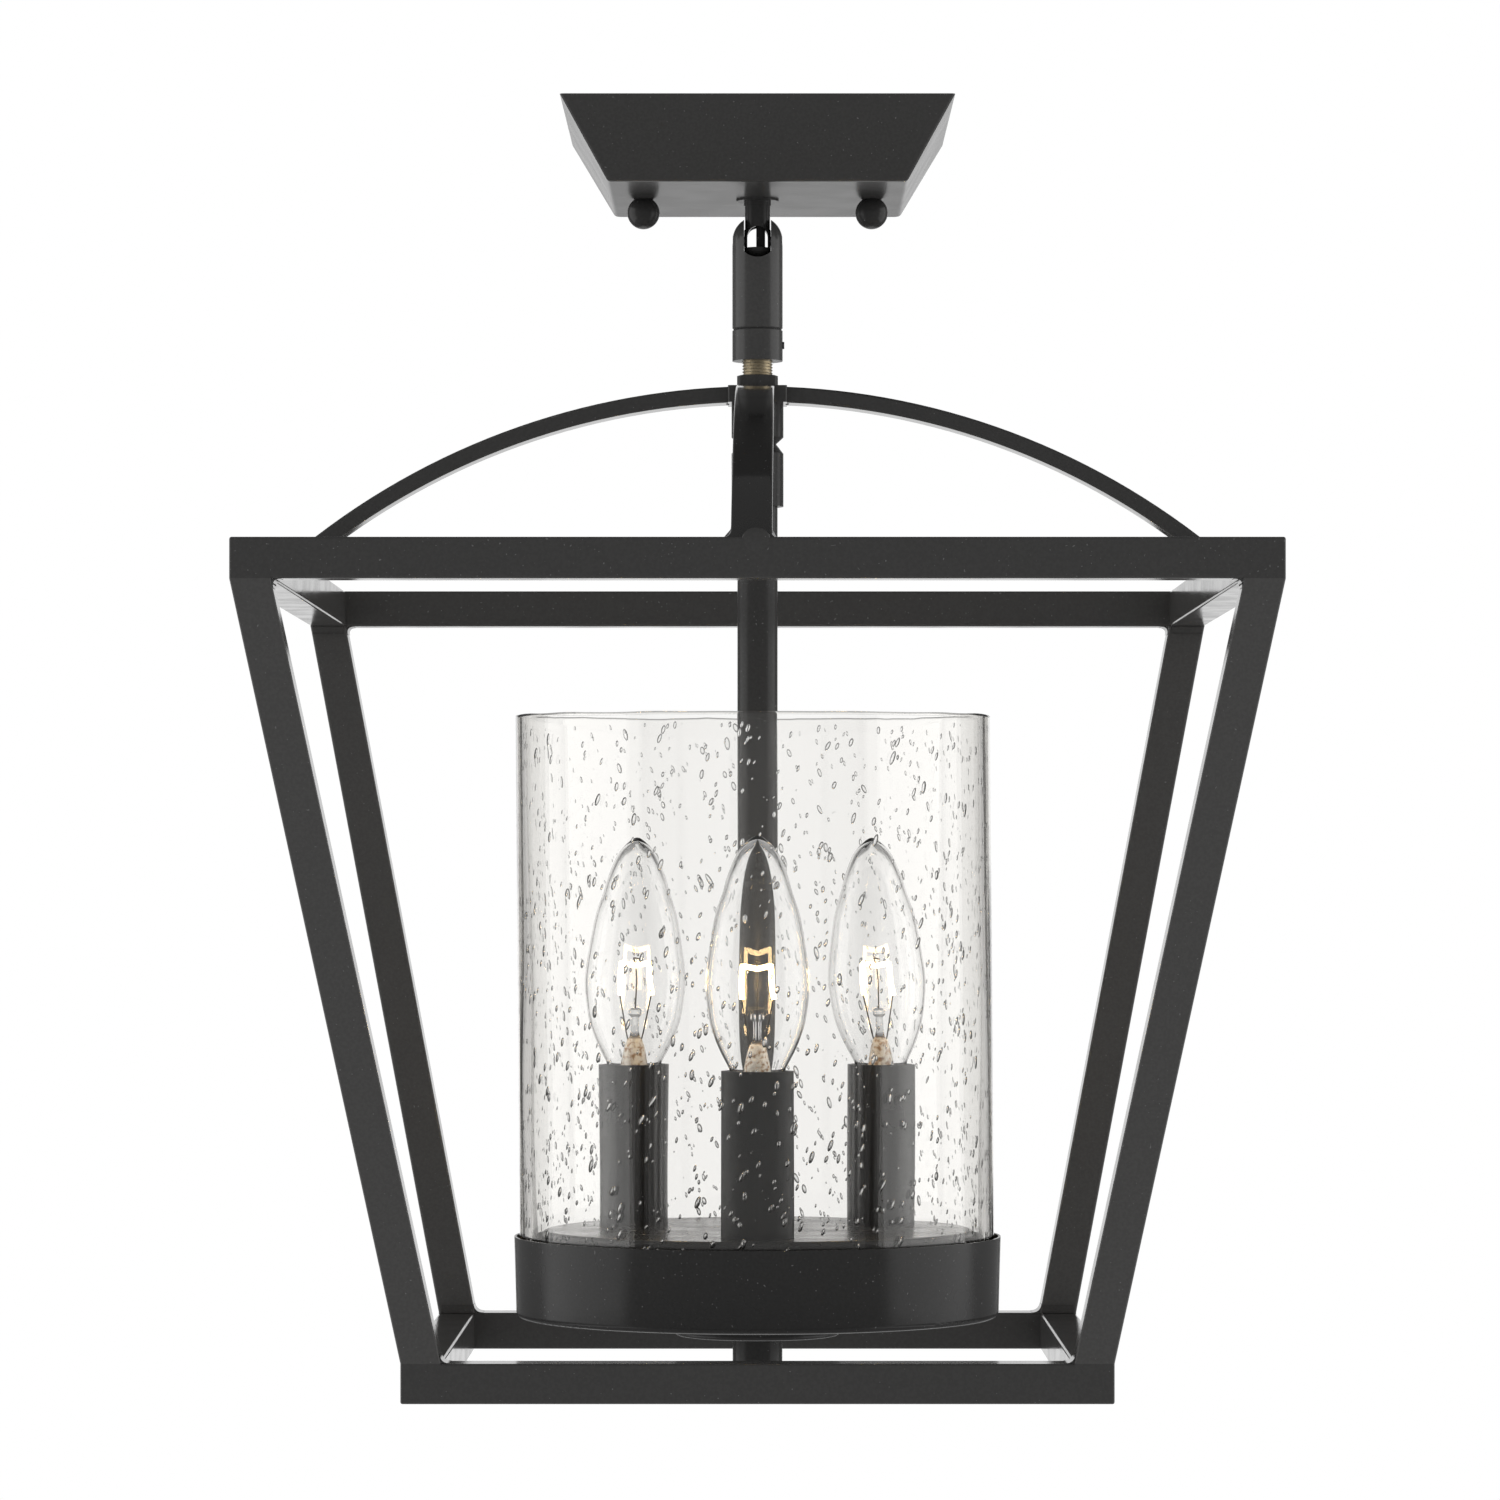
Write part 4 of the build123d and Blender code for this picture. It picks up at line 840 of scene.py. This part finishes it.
# Filament and its supports
#
# A coiled tungsten wire bent to a gate on two lead wires and a middle support, on a pressed
# glass foot with a rod and a button. The lamps are lit. Wires are given by their points' places
# beside the lamp's middle and levels.
GATE_HALF = 4.6
GATE_TOP, GATE_MIDDLE, GATE_SHOULDER, GATE_LOW = -266.2, -267.1, -272.4, -276.4
FILAMENT_GATE = ((-GATE_HALF, GATE_LOW), (-1.06 * GATE_HALF, GATE_SHOULDER),
                 (-GATE_HALF, GATE_TOP), (0.0, GATE_MIDDLE), (0.9 * GATE_HALF, GATE_TOP),
                 (0.96 * GATE_HALF, GATE_SHOULDER), (1.12 * GATE_HALF, GATE_LOW))
SIDE_WIRE = ((1.9, -291.4), (2.6, -288.4), (1.06 * GATE_HALF, GATE_LOW))
MIDDLE_WIRE = ((0.0, -281.0), (0.3, -272.0), (0.0, GATE_MIDDLE), (-0.8, GATE_TOP + 1.6),
               (1.2, GATE_TOP + 1.2))
FILAMENT_RADIUS, WIRE_RADIUS = 0.8, 0.22
WIRE_COLOUR = (0.06, 0.055, 0.05, 1)
TUNGSTEN_COLOUR = (0.3, 0.3, 0.3, 1)
GLOW_COLOUR = (1.0, 0.70, 0.34, 1)
GLOW_STRENGTH = 50.0
FOOT_OUTLINE = (
    # radius, level
    (0, -306.0), (5.84, -306.0), (5.84, -305.5), (4.9, -302.0), (4.3, -299.0), (3.8, -296.0),
    (3.1, -292.8), (2.3, -290.5), (1.6, -289.6), (1.25, -288.0), (1.25, -283.4), (2.1, -282.6),
    (2.1, -281.3), (1.2, -280.6), (0, -280.6),
)
FOOT_CLEAR_SPAN = (-290.5, -289.5)
# The foot's grains: dark brass is a painted reflection of the cap, pale is its bubbles with painted
# highlights.
FOOT_BUBBLE_AND_REFLECTION_COLOURS = ((0.42, 0.24, 0.11, 1), (1.0, 0.94, 0.84, 1))
FOOT_GRAIN_SCALE, FOOT_GRAIN_SPAN = 650.0, (0.32, 0.56)
FOOT_BUMP, FOOT_BUMP_DEPTH = 0.9, 0.8
FOOT_ROUGHNESS, FOOT_METALLIC = 0.22, 0.35


def swept(path, radius, columns=8):
    """Surface of a round wire along a path in one upright plane: each ring stands square to the
    path and halves the turn at a corner; path and radius in mm."""
    path = np.asarray(path, float)
    along = np.gradient(path, axis=0)
    along /= np.linalg.norm(along, axis=1, keepdims=True)
    side = np.cross(along, np.broadcast_to((0.0, 1.0, 0.0), along.shape))
    side /= np.linalg.norm(side, axis=1, keepdims=True)
    front = np.cross(side, along)
    angle = np.linspace(0, math.tau, columns, endpoint=False)[None, :, None]
    ring = side[:, None] * np.cos(angle) + front[:, None] * np.sin(angle)
    return surface(capped((path[:, None] + ring * radius) * MM))


def wire(outline, centre, radius, side=1, steps=6):
    """Surface of a wire with straight runs between its points, each run divided evenly, in the
    plane across the lamp; side -1 mirrors it."""
    points = np.array([(centre[0] + side * out, centre[1], level) for out, level in outline])
    t = np.linspace(0, 1, steps, endpoint=False)[None, :, None]
    runs = points[:-1, None] + (points[1:, None] - points[:-1, None]) * t
    return swept(np.concatenate((runs.reshape(-1, 3), points[-1:])), radius)


def glow_material(name):
    """White-hot wire."""
    made, tree, shader = new_material(name)
    shader.inputs["Base Color"].default_value = TUNGSTEN_COLOUR
    shader.inputs["Emission Color"].default_value = GLOW_COLOUR
    shader.inputs["Emission Strength"].default_value = GLOW_STRENGTH
    return made


def foot_material(name):
    """Clear glass rod above; below it the pressed foot is full of bubbles, with painted highlights
    on them and a painted brassy reflection of the cap, drawn as grains of pale and dark metal."""
    made = glass_material(name)
    tree = made.node_tree
    output = tree.nodes["Material Output"].inputs["Surface"]
    clear = output.links[0].from_socket
    place = add(tree, "TexCoord").outputs["Object"]
    grain = noise_value(tree, place, FOOT_GRAIN_SCALE, detail=4.0)
    # Painted reflection of the cap and painted highlights on the bubbles, as grains of colour.
    tint = blend_colour(tree, ramp(tree, grain, *FOOT_GRAIN_SPAN), *FOOT_BUBBLE_AND_REFLECTION_COLOURS)
    bump = add(tree, "Bump", {"Height": grain, "Strength": FOOT_BUMP,
                              "Distance": FOOT_BUMP_DEPTH * MM})
    grains = add(tree, "BsdfPrincipled", {"Base Color": tint, "Roughness": FOOT_ROUGHNESS,
                                          "Metallic": FOOT_METALLIC,
                                          "Normal": bump.outputs["Normal"]})
    level = add(tree, "SeparateXYZ", {"Vector": place}).outputs["Z"]
    share = ramp(tree, level, *(edge * MM for edge in FOOT_CLEAR_SPAN), 1.0, 0.0)
    mixed = add(tree, "MixShader", {0: share, 1: clear, 2: grains.outputs[0]})
    tree.links.new(mixed.outputs[0], output)
    return made


rod_glass = foot_material("rod_glass")
lead_wire = metal_material("lead_wire", WIRE_COLOUR, roughness=0.4)
glow = glow_material("filament")
for index, centre in enumerate(candle_places):
    lamp = "lamp_%d" % (index + 1)
    foot = mesh_of(turned(FOOT_OUTLINE, centre, columns=32))
    gate = mesh_of(wire(FILAMENT_GATE, centre, FILAMENT_RADIUS))
    leads = mesh_of(wire(SIDE_WIRE, centre, WIRE_RADIUS, -1), wire(SIDE_WIRE, centre, WIRE_RADIUS),
                    wire(MIDDLE_WIRE, centre, WIRE_RADIUS))
    lean(place_piece(lamp + "_foot", foot, lamp, rod_glass, [lamp + "_mount"]), index)
    lean(place_piece(lamp + "_filament", gate, lamp, glow), index)
    lean(place_piece(lamp + "_leads", leads, lamp, lead_wire), index)

# Lead
#
# A black sleeved lead that runs down the hollow stud, through the swivel and the stem to the
# lampholders. It lies to the right in the eye's window and bends back to the middle below it.
LEAD_RADIUS = 1.4
LEAD_SHIFT = 1.0
LEAD_TOP, LEAD_FOOT = -9.0, -359.5
LEAD_STRAIGHT_LEVELS = (-52.0, -100.0, -200.0)
LEAD_STEPS = 90
LEAD_BENDS = (-43.0, -50.0)


def smooth_step(value, low, high):
    """0 below low, 1 above high and a smooth change between them."""
    share = np.clip((value - low) / (high - low), 0, 1)
    return share * share * (3 - 2 * share)


lead_skin = coat_material("lead_skin", level=0.02, ior=1.4, roughness=(0.45, 0.6),
                          orange_peel=0.15)
finish_node("branch_leads", lead_skin)
level = np.concatenate((np.linspace(LEAD_TOP, LEAD_STRAIGHT_LEVELS[0], LEAD_STEPS),
                        LEAD_STRAIGHT_LEVELS[1:], [LEAD_FOOT]))
shift = LEAD_SHIFT * smooth_step(level, LEAD_BENDS[1], LEAD_BENDS[0])
lead_path = np.stack((shift, np.zeros_like(level), level), axis=1)
lead = place_piece("lead_through_swivel", mesh_of(swept(lead_path, LEAD_RADIUS)), None,
                   lead_skin, ["lead_upper", "lead_lower"])
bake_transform(lead)
